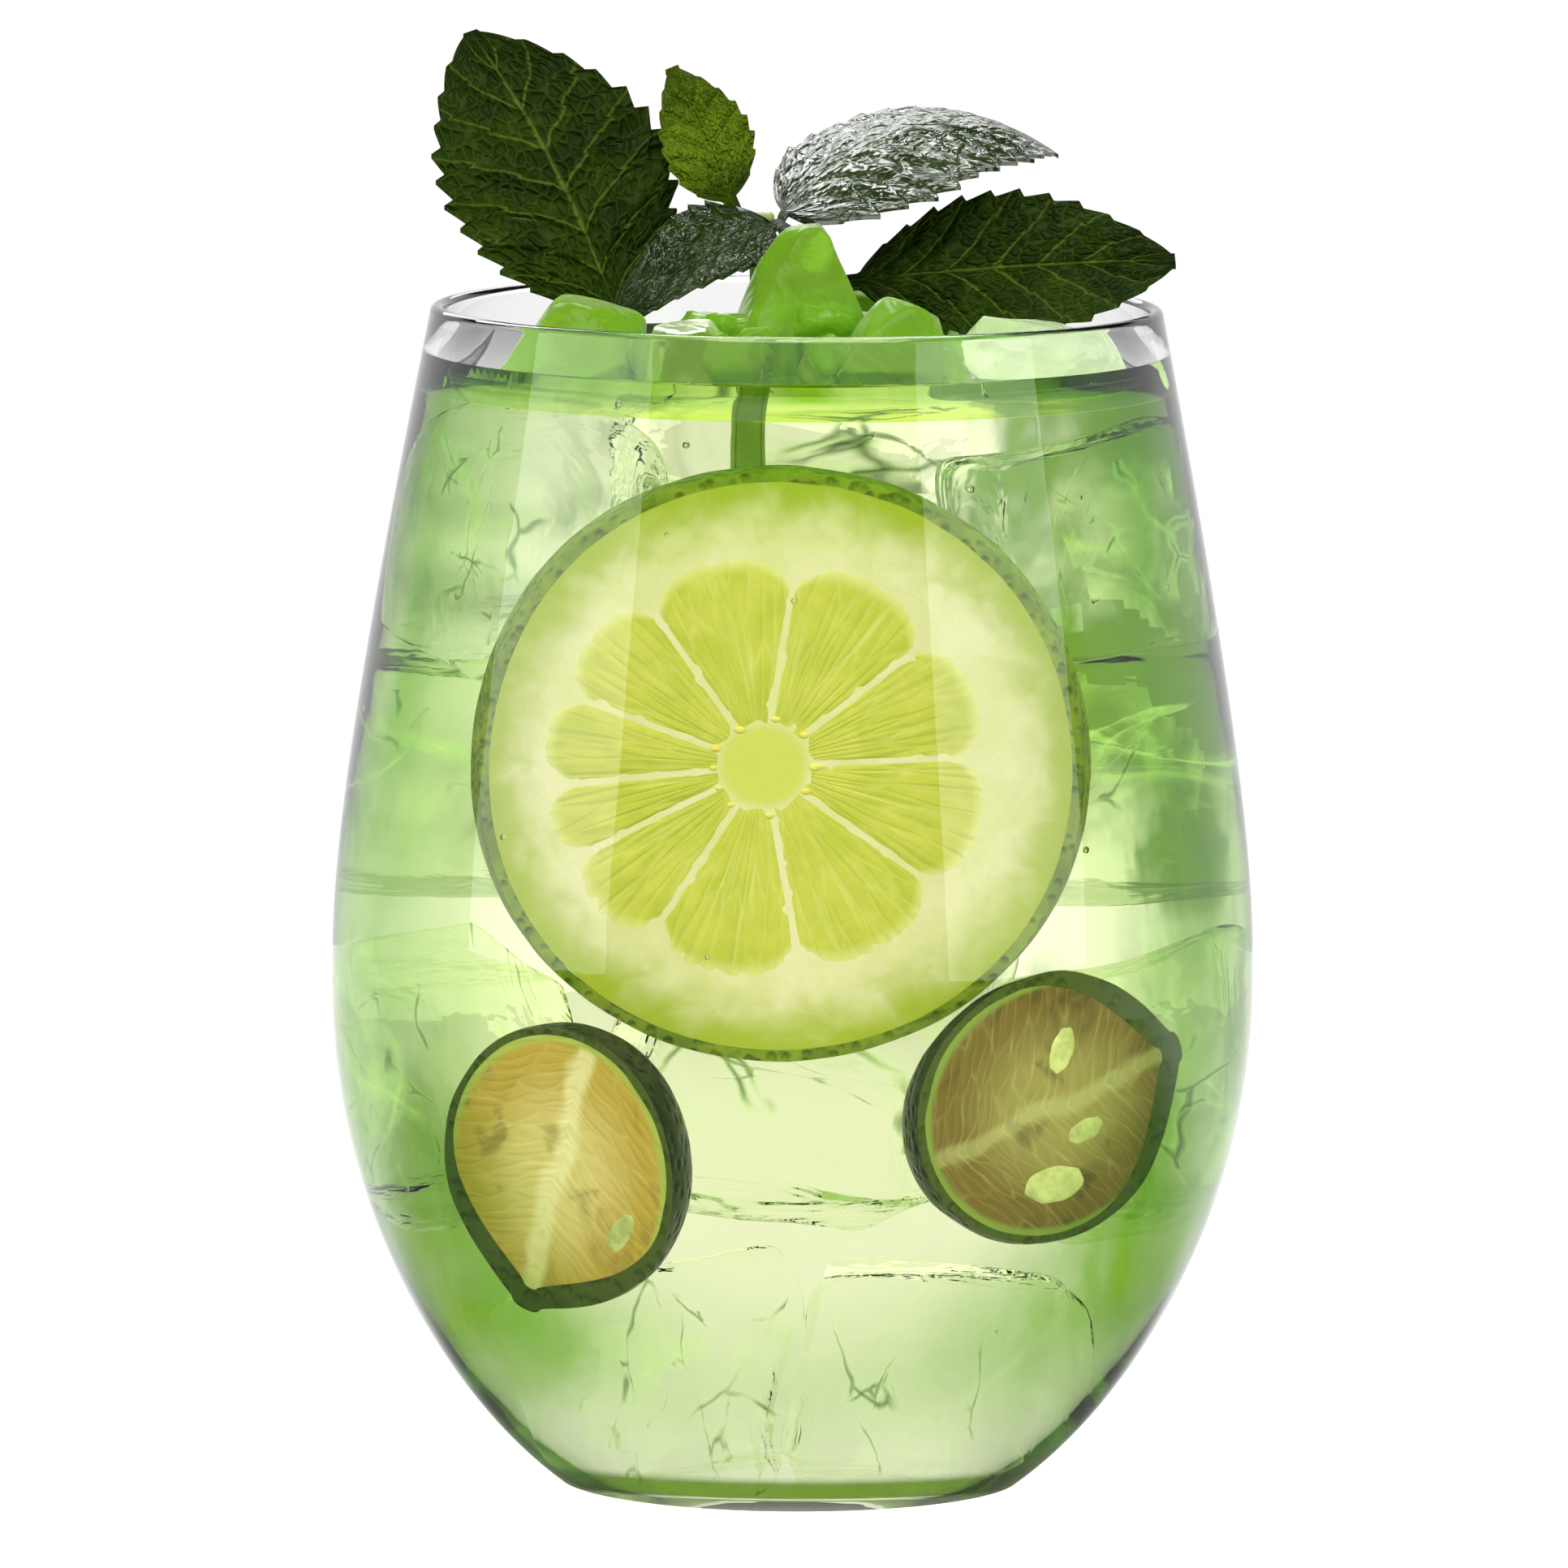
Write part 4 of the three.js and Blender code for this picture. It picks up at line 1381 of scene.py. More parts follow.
@dataclass
class Drink:
    """The drink, with the climb of its surface at the wall and a few bubbles.

    Args:
        tumbler: what holds it.
        level: height of its surface.
        sink: how far it reaches into the wall, so that no air lies between them.
        climb: how far it climbs at the wall.
        climb_width: how wide that climb is.
        climb_power: how sharply it climbs.
        sides: sides of the turn.
        bubbles: how many bubbles.
        bubble_sizes: smallest and largest radius.
        bubble_top: how far under the surface the highest bubble is.
        bubble_reach: how far below that the lowest may be.
        bubble_gap: between a bubble and the wall.
        seed: of the bubbles' random places.
    """

    tumbler: Tumbler
    level: float = 114 * MM
    sink: float = 0.12 * MM
    climb: float = 1.3 * MM
    climb_width: float = 3.2 * MM
    climb_power: float = 2.4
    sides: int = 160
    bubbles: int = 46
    bubble_sizes: Point = (0.18 * MM, 0.5 * MM)
    bubble_top: float = 1.2 * MM
    bubble_reach: float = 70 * MM
    bubble_gap: float = 0.3 * MM
    seed: int = 11

    def top(self) -> float:
        """How high the drink stands at the wall."""
        return self.level + self.climb

    def build(self, surface: Material, side: Material) -> None:
        """Builds the drink.

        Args:
            surface: finish of its surface.
            side: its finish against the glass.
        """
        top = self.top()
        wall = [point for point in self.tumbler.inside(self.sink) if point[1] < top]
        edge = self.tumbler.wall_at(top) + self.sink
        rise = [(edge - self.climb_width * share, self.level + self.climb * (1 - share) ** self.climb_power)
                for share in (step / 10 for step in range(11))]
        flat = [(rise[-1][0] * (1 - step / 8), self.level) for step in range(1, 9)]
        bm = bmesh.new()
        spin_profile(bm, joined(wall, rise, flat), self.sides)
        bmesh.ops.recalc_face_normals(bm, faces=bm.faces)
        for face in bm.faces:
            low = face.calc_center_median().z < self.level - self.climb
            face.material_index = int(low or face.normal.z < 0.1)
        settle(as_object(bm, "drink_body", [surface, side]), Body.GLASS, ["drink"])

    def build_bubbles(self, material: Material) -> None:
        """Adds bubbles that cling to the wall, most of them near the surface.

        Args:
            material: their finish.
        """
        dice = random.Random(self.seed)
        bm = bmesh.new()
        for _ in range(self.bubbles):
            size = dice.uniform(*self.bubble_sizes)
            height = self.level - self.bubble_top - self.bubble_reach * dice.random() ** 3
            turn = dice.uniform(-math.pi, math.pi)
            reach = self.tumbler.wall_at(height) - size - self.bubble_gap
            spot = Matrix.Translation((reach * math.sin(turn), -reach * math.cos(turn), height))
            bmesh.ops.create_uvsphere(bm, u_segments=16, v_segments=10, radius=size, matrix=spot)
        settle(as_object(bm, "bubbles", [material]), Body.GLASS)


# Ice


@dataclass
class Ice:
    """The cubes in the drink and the crushed ice on top.

    Args:
        level: height of the drink's surface.
        cubes: how many cubes.
        chips: names of the pieces on top.
        palest: name of the palest of them.
        coloured: numbers of the cubes that the drink has coloured.
        sheets: cracks in each cube.
        sheet_cuts: how finely each crack is cut.
        sheet_reach: its least reach, and how far that strays, in shares of the cube's half size.
        sheet_bend: how far a crack bends.
        cuts: how finely each face is cut.
        melt: depth of the waves in a cube's faces.
        chip_melt: depth of the waves in a chip's faces.
        waves: broad waves per metre.
        ripples: fine waves per metre.
        ripple_share: depth of the fine waves as a share of the broad ones'.
        grains: how many small grains lie round the chips.
        grain_sizes: smallest and largest half size of a grain.
        mound: half width and half depth of the mound of grains.
        mound_rise: height of the mound.
        mound_front: how far its middle is in front of the tallest chip's.
        crack_seed: of the cracks' random places.
        grain_seed: of the grains' random places.
    """

    level: float
    cubes: int = 10
    chips: tuple[str, ...] = ("peak", "left", "front", "right", "slab", "back")
    palest: str = "slab"
    coloured: tuple[int, ...] = (3, 5, 6, 7, 8)
    sheets: int = 3
    sheet_cuts: int = 26
    sheet_reach: Point = (0.78, 0.45)
    sheet_bend: float = 2.6 * MM
    cuts: int = 3
    melt: float = 2.2 * MM
    chip_melt: float = 0.7 * MM
    waves: float = 55.0
    ripples: float = 320.0
    ripple_share: float = 0.12
    grains: int = 46
    grain_sizes: Point = (1.6 * MM, 3.2 * MM)
    mound: Point = (17 * MM, 8 * MM)
    mound_rise: float = 5 * MM
    mound_front: float = 3 * MM
    crack_seed: int = 5
    grain_seed: int = 23

    def _piece(self, node: str, material: Material, depth: float, seed: float, soften_times: int) -> None:
        """Builds one piece of ice on its CAD node.

        Args:
            node: the node.
            material: its finish.
            depth: depth of the waves.
            seed: shifts the waves.
            soften_times: how often the edges are smoothed.
        """
        bm = cad_copy(node)
        join_flats(bm)
        bmesh.ops.triangulate(bm, faces=bm.faces)
        bmesh.ops.subdivide_edges(bm, edges=bm.edges, cuts=self.cuts, use_grid_fill=True)
        for _ in range(soften_times):
            bmesh.ops.smooth_vert(bm, verts=bm.verts, factor=0.5, use_axis_x=True, use_axis_y=True,
                                  use_axis_z=True)
        rough_up(bm, self.waves, depth, seed)
        rough_up(bm, self.ripples, depth * self.ripple_share, seed + 5.0)
        thing = as_object(bm, f"{node}_melted", [material])
        soften(thing, 1)
        settle(thing, Body.GLASS, [node])

    def _cracks(self, node: str, material: Material, dice: random.Random) -> None:
        """Adds cracks inside one cube: bent sheets with a ragged outline, most of them facing out.

        Args:
            node: the cube.
            material: finish of the cracks.
            dice: chooses their place.
        """
        low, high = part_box(node)
        middle, reach = (low + high) / 2, min(high - low) / 2
        out = Vector((middle.x, middle.y, 0.0)).normalized()
        bm = bmesh.new()
        for number in range(self.sheets):
            sheet = bmesh.ops.create_grid(bm, x_segments=self.sheet_cuts, y_segments=self.sheet_cuts,
                                          size=reach * 0.95)["verts"]
            shift = Vector((dice.uniform(0, 90), dice.uniform(0, 90), number))
            least, stray = self.sheet_reach
            gone = []
            for vert in sheet:
                if vert.co.length > reach * (least + stray * noise.noise(vert.co * 160 + shift)):
                    gone.append(vert)
                vert.co.z += self.sheet_bend * noise.noise(vert.co * 90 + shift)
            facing = (out + Vector(dice.uniform(-0.75, 0.75) for _ in range(3))).normalized()
            spot = middle + out * reach * dice.uniform(-0.5, 0.45)
            turn = facing.to_track_quat("Z", "Y").to_matrix().to_4x4()
            bmesh.ops.transform(bm, matrix=Matrix.Translation(spot) @ turn, verts=sheet)
            bmesh.ops.delete(bm, geom=gone, context="VERTS")
        settle(as_object(bm, f"{node}_cracks", [material]), Body.GLASS)

    def _grains(self, material: Material) -> None:
        """Adds the small grains of the crushed ice: a low mound round the tallest chip.

        Args:
            material: their finish.
        """
        dice = random.Random(self.grain_seed)
        top = node_centre("ice_chip_peak")
        bm = bmesh.new()
        for number in range(self.grains):
            turn, away = dice.uniform(0, math.tau), math.sqrt(dice.random())
            across, deep = self.mound[0] * away * math.cos(turn), self.mound[1] * away * math.sin(turn)
            size = dice.uniform(*self.grain_sizes)
            rise = self.mound_rise * (1 - away ** 1.5) + dice.uniform(-0.6, 0.6) * size
            spot = Vector((top.x + across, top.y - self.mound_front + deep, self.level + rise))
            stone = bmesh.ops.create_icosphere(bm, subdivisions=3, radius=size)["verts"]
            sizes = [dice.uniform(*pair) for pair in ((0.7, 1.4), (0.7, 1.2), (0.5, 1.0))]
            shape = Matrix.Diagonal((*sizes, 1.0))
            shift = Vector((number, 3.0 * number, 0.0))
            for vert in stone:
                flat = max(map(abs, vert.co)) / size
                vert.co *= (0.75 / flat) ** 0.55 * (1 + 0.22 * noise.noise(vert.co * 700 + shift))
            lean = Euler([dice.uniform(*pair) for pair in ((-0.6, 0.6), (-0.6, 0.6), (0, 3))])
            place = Matrix.Translation(spot) @ lean.to_matrix().to_4x4() @ shape
            bmesh.ops.transform(bm, matrix=place, verts=stone)
        settle(as_object(bm, "ice_grains", [material]), Body.GLASS)

    def build(self, cube: Material, green: Material, chip: Material,
              pale: Material, crack: Material) -> None:
        """Builds all the ice.

        Args:
            cube: finish of the cubes.
            green: finish of the cubes that the drink has coloured.
            chip: finish of the crushed ice.
            pale: finish of its palest piece.
            crack: finish of the cracks.
        """
        dice = random.Random(self.crack_seed)
        for number in range(1, self.cubes + 1):
            finish = green if number in self.coloured else cube
            self._piece(f"ice_cube_{number:02d}", finish, self.melt, 1.7 * number, 3)
            self._cracks(f"ice_cube_{number:02d}", crack, dice)
        for number, name in enumerate(self.chips):
            finish = pale if name == self.palest else chip
            self._piece(f"ice_chip_{name}", finish, self.chip_melt, 3.1 * number, 1)
        self._grains(chip)


# Lime


@dataclass
class LimeSlice:
    """The slice against the front wall, upright and facing the front.

    Args:
        radius: of the slice.
        thickness: of the slice.
        rind: thickness of the rind.
        soft: rounding of the rind's edges.
        core: radius of the pith in the middle.
        pulp_radius: reach of the pulp.
        pulp_shift: the pulp's middle from the slice's, right and up.
        membrane: width of the pith between two wedges.
        corner: rounding of a wedge's corners.
        bulge: how far the pulp stands out.
        membranes: where the membranes are, in degrees.
        sides: sides of the rind.
        grid: steps across and along a wedge.
        wander: how far the ends of the membranes stray, in degrees.
        seed: of those ends' random places.
        stand: turns the slice upright.
    """

    radius: float = 28.7 * MM
    thickness: float = 5.0 * MM
    rind: float = 1.1 * MM
    soft: float = 0.45 * MM
    core: float = 4.2 * MM
    pulp_radius: float = 20.4 * MM
    pulp_shift: Point = (-1.3 * MM, -0.3 * MM)
    membrane: float = 0.6 * MM
    corner: float = 2.4 * MM
    bulge: float = 0.12 * MM
    membranes: tuple[float, ...] = (-174, -152, -121, -80, -37, 3, 40, 82, 124, 159)
    sides: int = 180
    grid: tuple[int, int] = (22, 26)
    wander: float = 6.0
    seed: int = 3
    stand: Matrix = field(default_factory=lambda: Matrix.Rotation(math.radians(90), 4, "X"))

    def middle(self) -> Vector:
        """Middle of the slice."""
        return node_centre("slice_rind")

    def pulp_middle(self) -> Vector:
        """Middle of the pulp."""
        return self.middle() + Vector((self.pulp_shift[0], 0.0, self.pulp_shift[1]))

    def build_rind(self, material: Material) -> None:
        """Builds the rind.

        Args:
            material: its finish.
        """
        half, outer, inner = self.thickness / 2, self.radius, self.radius - self.rind
        near = 0.13 * self.soft
        front = [(inner, -half), (outer - self.soft, -half), (outer - near, near - half),
                 (outer, self.soft - half)]
        ring = front + [(reach, -depth) for reach, depth in front[::-1]] + front[:1]
        bm = bmesh.new()
        spin_profile(bm, ring, self.sides)
        rough_up(bm, 260.0, 0.1 * MM, 4.0)
        bmesh.ops.transform(bm, matrix=self.stand, verts=bm.verts)
        seat_on(bm, "slice_rind")
        settle(as_object(bm, "rind", [material], 50), Body.GLASS, ["slice_rind"])

    def build_pith(self, material: Material) -> None:
        """Builds the pith.

        Args:
            material: its finish.
        """
        half, reach = self.thickness / 2, self.radius - self.rind
        bm = bmesh.new()
        outline = [(0.0, -half), (reach / 2, -half), (reach, -half), (reach, half), (0.0, half)]
        spin_profile(bm, outline, self.sides)
        bmesh.ops.transform(bm, matrix=self.stand, verts=bm.verts)
        middle = self.middle()
        bmesh.ops.translate(bm, verts=bm.verts, vec=middle)
        lay_flat(bm, "flat", bm.faces, lambda spot: ((spot - middle) / self.radius).xz)
        settle(as_object(bm, "pith", [material], 30), Body.GLASS, ["slice_pith"])

    def _wedge_spot(self, across: float, along: float, first: float, last: float) -> Point:
        """A place in a wedge of pulp.

        Args:
            across: from one membrane to the other, 0 to 1.
            along: from the core out, 0 to 1.
            first: direction of one membrane, in radians.
            last: direction of the other.

        Returns:
            Its place on the face, from the pulp's middle.
        """
        low, high = self.core, self.pulp_radius
        side = 2 * across - 1
        rounding = self.corner / high * 2.2
        squeeze = abs(side) ** 3.5
        reach = low + (high - low) * along
        reach -= squeeze * rounding * high * 0.5 * along ** 3
        gap = self.membrane / 2 / max(reach, low)
        turn = first + gap + (last - first - 2 * gap) * across
        return reach * math.cos(turn), reach * math.sin(turn)

    def build_pulp(self, material: Material) -> None:
        """Builds the wedges of pulp.

        Args:
            material: their finish.
        """
        middle = self.pulp_middle()
        wide, deep = self.grid
        ends = self.membranes[1:] + (self.membranes[0] + 360,)
        for number, (first, last) in enumerate(zip(self.membranes, ends), 1):
            bm = bmesh.new()
            made = bmesh.ops.create_grid(bm, x_segments=wide, y_segments=deep, size=0.5)
            share = (last - first) / 40
            lay_flat(bm, "flat", bm.faces, lambda spot: ((spot.x + 0.5) * share + number, spot.y + 0.5))
            for vert in made["verts"]:
                across, along = vert.co.x + 0.5, vert.co.y + 0.5
                right, up = self._wedge_spot(across, along, math.radians(first), math.radians(last))
                swell = self.bulge * (math.sin(math.pi * across) * math.sin(math.pi * along)) ** 0.4
                lump = 0.08 * MM * noise.noise(Vector((right * 900, up * 900, number)))
                vert.co = Vector((right, -self.thickness / 2 - swell - lump, up))
            for part in bmesh.ops.extrude_face_region(bm, geom=list(bm.faces))["geom"]:
                if isinstance(part, bmesh.types.BMVert):
                    part.co.y = -part.co.y
            bmesh.ops.translate(bm, verts=bm.verts, vec=middle)
            thing = as_object(bm, f"pulp_{number:02d}", [material], 50)
            settle(thing, Body.GLASS, [f"slice_segment_{number:02d}"])

    def build_dots(self, material: Material) -> None:
        """Builds the small ends of the membranes round the core.

        Args:
            material: their finish.
        """
        dice = random.Random(self.seed)
        middle = self.pulp_middle()
        bm = bmesh.new()
        for degrees in self.membranes:
            turn = math.radians(degrees + dice.uniform(-self.wander, self.wander))
            reach = self.core + dice.uniform(-0.1, 0.7) * MM
            spot = middle + Vector((reach * math.cos(turn), -self.thickness / 2, reach * math.sin(turn)))
            size = dice.uniform(0.22, 0.42) * MM
            flat = Matrix.Translation(spot) @ Matrix.Diagonal((1.3, 0.5, 0.9, 1.0))
            bmesh.ops.create_uvsphere(bm, u_segments=12, v_segments=8, radius=size, matrix=flat)
        settle(as_object(bm, "membrane_ends", [material]), Body.GLASS)

    def build(self, rind: Material, pith: Material, pulp: Material,
              dots: Material) -> None:
        """Builds the slice.

        Args:
            rind: finish of the rind.
            pith: finish of the pith.
            pulp: finish of the pulp.
            dots: finish of the ends of the membranes.
        """
        self.build_rind(rind)
        self.build_pith(pith)
        self.build_pulp(pulp)
        self.build_dots(dots)


class Side(Enum):
    """Which small lime half."""

    LEFT = "left_half"
    RIGHT = "right_half"


@dataclass
class LimeHalf:
    """A small lime, cut from stem to tip, its cut face to the front.

    Args:
        side: which half.
        roll: degrees that it is turned on its face.
        pitch: degrees that the face looks up.
        yaw: degrees that the face looks aside.
        seeds: how many seeds show.
        radius: of the lime.
        length: from stem to tip.
        peel: thickness of the peel.
        nipple_radius: of the tip.
        nipple_length: of the tip.
        seed_swell: how much the juice has swollen the seeds.
        round_handle: length of a handle that makes a curve round, as a share of the radius.
        shoulder: how far the shoulder stands out beside the tip, as a share of the radius.
        steps: stretches of each curve.
        sides: sides of the half turn.
    """

    side: Side
    roll: float
    pitch: float
    yaw: float
    seeds: int
    radius: float = 12.9 * MM
    length: float = 30.6 * MM
    peel: float = 0.9 * MM
    nipple_radius: float = 1.7 * MM
    nipple_length: float = 3.4 * MM
    seed_swell: float = 1.15
    round_handle: float = 0.5523
    shoulder: float = 0.34
    steps: int = 24
    sides: int = 56

    def egg(self, radius: float, length: float, tip: float) -> list[Point]:
        """Outline of a lime.

        Args:
            radius: at the middle.
            length: end to end.
            tip: radius of the tip.

        Returns:
            Points from the stem end to the tip.
        """
        end, handle = length / 2, self.round_handle
        return joined(
            bezier([(0, -end), (handle * radius, -end), (radius, -handle * end), (radius, 0)], self.steps),
            bezier([(radius, 0), (radius, handle * end),
                    (tip + self.shoulder * radius, end - self.nipple_length), (tip, end - tip / 2)],
                   self.steps),
            bezier([(tip, end - tip / 2), (tip * 0.9, end - tip * 0.1), (tip * 0.5, end), (0, end)], 5))

    def inside(self) -> list[Point]:
        """Outline of the flesh.

        Returns:
            Points from the stem end to the tip.
        """
        drop = self.nipple_radius / 2
        egg = self.egg(self.radius - self.peel, self.length - 2 * drop - 2 * self.peel, drop)
        return [(reach, height - drop) for reach, height in egg]

    def _turned(self, bm: Mesh) -> None:
        """Turns a mesh from the lime's own axes to its place.

        Args:
            bm: the mesh.
        """
        turn = Matrix.Identity(4)
        for degrees, axis in ((self.yaw, "Z"), (self.pitch, "X"), (self.roll, "Y")):
            turn = turn @ Matrix.Rotation(math.radians(degrees), 4, axis)
        bmesh.ops.transform(bm, matrix=turn, verts=bm.verts)

    def build_peel(self, material: Material) -> Vector:
        """Builds the peel.

        Args:
            material: its finish.

        Returns:
            Where the half's own middle came to lie.
        """
        name = self.side.value
        outer = self.egg(self.radius, self.length, self.nipple_radius)
        bm = bmesh.new()
        spin_profile(bm, outer + self.inside()[::-1], self.sides, math.pi)
        rims = [edge for edge in bm.edges if edge.is_boundary]
        cut = bmesh.ops.bridge_loops(bm, edges=rims)["faces"]
        lay_flat(bm, "cut", cut, lambda spot: (1.0, 0.0))
        rough_up(bm, 220.0, 0.22 * MM, 2.0)
        self._turned(bm)
        shift = seat_on(bm, f"{name}_peel")
        settle(as_object(bm, f"{name}_skin", [material], 40), Body.GLASS, [f"{name}_peel"])
        return shift

    def build_flesh(self, material: Material, middle: Vector) -> None:
        """Builds the flesh.

        Args:
            material: its finish.
            middle: where the half's own middle lies.
        """
        name = self.side.value
        bm = bmesh.new()
        spin_profile(bm, self.inside(), self.sides, math.pi)
        bmesh.ops.holes_fill(bm, edges=[edge for edge in bm.edges if edge.is_boundary])
        wide, tall = self.radius - self.peel, self.length / 2 - self.peel
        lay_flat(bm, "flat", bm.faces, lambda spot: (spot.x / wide, spot.z / tall))
        self._turned(bm)
        bmesh.ops.translate(bm, verts=bm.verts, vec=middle)
        settle(as_object(bm, f"{name}_meat", [material], 40), Body.GLASS, [f"{name}_flesh"])

    def build_seeds(self, material: Material) -> None:
        """Builds the seeds.

        Args:
            material: their finish.
        """
        for number in range(1, self.seeds + 1):
            node = f"{self.side.value}_seed_{number}"
            bm = cad_copy(node)
            to_middle = Matrix.Translation(centre(bm))
            swell = to_middle @ Matrix.Scale(self.seed_swell, 4) @ to_middle.inverted()
            bmesh.ops.transform(bm, matrix=swell, verts=bm.verts)
            pip = as_object(bm, f"{node}_pip", [material])
            soften(pip, 2)
            settle(pip, Body.GLASS, [node])

    def build(self, peel: Material, flesh: Material, seed: Material) -> None:
        """Builds the half.

        Args:
            peel: finish of the peel.
            flesh: finish of the flesh.
            seed: finish of the seeds.
        """
        self.build_flesh(flesh, self.build_peel(peel))
        self.build_seeds(seed)


# Mint


@dataclass
class MintLeaf:
    """One leaf of the sprig, on its own axes: across X, along Y, its upper face up Z.

    Args:
        name: the CAD node.
        side: side of the stem that it grows on.
        node: height on the stem above the rim.
        base: where the blade starts, above the rim.
        towards: where it points.
        facing: where its upper face looks.
        length: of the blade.
        width: of the blade.
        full: where the blade is widest; less is nearer to the base.
        teeth: on each edge.
        keel: degrees that the halves rise from the midrib.
        bend: degrees that it bends along its length.
        sway: how far the tip sways aside.
        slot: material slot; not used.
        ripple: depth of the quilting between the side veins.
        thickness: of the blade.
        petiole: width of the stalk.
        tooth: height of a tooth as a share of the half width.
        columns: steps across the blade.
        rows_each: steps along each tooth.
        stalk_rows: steps along the stalk.
        node_reach: how far from the stem's middle the stalk starts.
    """

    name: str
    side: int
    node: float
    base: Place
    towards: Place
    facing: Place
    length: float
    width: float
    full: float
    teeth: int
    keel: float
    bend: float
    sway: float = 0.0
    slot: Slot = Slot.LEAF
    ripple: float = 0.35 * MM
    thickness: float = 0.42 * MM
    petiole: float = 1.4 * MM
    tooth: float = 0.13
    columns: int = 32
    rows_each: int = 8
    stalk_rows: int = 14
    node_reach: float = 2.3 * MM

    def _half_width(self, v: float) -> float:
        """Half width of the blade.

        Args:
            v: place along the blade.

        Returns:
            The half width.
        """
        shape = max(0.0, math.sin(math.pi * min(1.0, v) ** self.full)) ** 0.75
        bite = (v * self.teeth) % 1.0
        number = math.floor(v * self.teeth)
        uneven = 1.0 + 0.5 * noise.noise(Vector((number * 1.7, self.length * 900, 0.0)))
        saw = self.tooth * uneven * (bite ** 1.3) * min(1.0, 6 * v)
        return max(self.petiole / 2, self.width / 2 * shape * (1.0 + saw))

    def _blade_spot(self, across: float, v: float) -> Vector:
        """A place on the blade.

        Args:
            across: from edge to edge, -1 to 1.
            v: from base to tip, 0 to 1.

        Returns:
            The place.
        """
        half = self._half_width(v)
        bend = math.radians(self.bend)
        arc = bend * v
        fold = abs(across) * half * math.tan(math.radians(self.keel)) * min(1.0, 3 * v)
        droop = self.length * (math.cos(arc) - 1) / bend
        phase = (v - 0.24 * abs(across) ** 0.8) * self.teeth * 0.75
        pillow = math.sin(math.pi * (phase % 1.0)) * math.sin(math.pi * min(1.0, abs(across) * 0.95 + 0.05))
        curl = noise.noise(Vector((across * 1.3, v * 3.0, self.length * 400))) * 0.7 * MM * abs(across)
        height = fold + droop + self.ripple * pillow * min(1.0, 4 * v, 4 * (1 - v)) + curl
        return Vector((across * half + self.sway * v * v, self.length * math.sin(arc) / bend, height))

    def build(self, stem: Vector, rim: float, material: Material) -> None:
        """Builds the leaf.

        Args:
            stem: where the stem stands.
            rim: height of the rim.
            material: its finish.
        """
        along = Vector(self.towards).normalized()
        over = along.cross(Vector(self.facing)).normalized()
        up = over.cross(along)
        axes = Matrix((over, along, up)).transposed()
        base = Vector(self.base) + Vector((0.0, 0.0, rim))
        starts = Vector((stem.x + self.side * self.node_reach, stem.y, rim + self.node))
        root = axes.transposed() @ (starts - base)
        steer = Vector((0.0, -0.6 * root.length, 0.0))

        blade_rows = self.teeth * self.rows_each
        rows = self.stalk_rows + blade_rows
        bm = bmesh.new()
        bmesh.ops.create_grid(bm, x_segments=self.columns, y_segments=rows, size=1.0)
        lay_flat(bm, "flat", bm.faces,
                 lambda spot: (spot.x, max(0.0, (spot.y + 1) / 2 * rows - self.stalk_rows) / blade_rows))
        for vert in bm.verts:
            across, row = vert.co.x, (vert.co.y + 1) / 2 * rows
            if row < self.stalk_rows:
                t = row / self.stalk_rows
                spot = root * (1 - t) ** 2 + steer * (2 * t * (1 - t))
                slope = ((steer - root) * (1 - t) - steer * t).normalized()
                aside = slope.cross(Vector((0.0, 0.0, 1.0))).normalized()
                vert.co = spot + aside * (across * self.petiole / 2)
            else:
                vert.co = self._blade_spot(across, (row - self.stalk_rows) / blade_rows)
        # The faces still have the flat sheet's normals here, so the blade is thickened straight up.
        for vert in bm.verts:
            vert.co = axes @ vert.co + base
        bmesh.ops.solidify(bm, geom=list(bm.faces), thickness=self.thickness)
        settle(as_object(bm, f"{self.name}_blade", [material], 60), Body.SPRIG, [self.name])


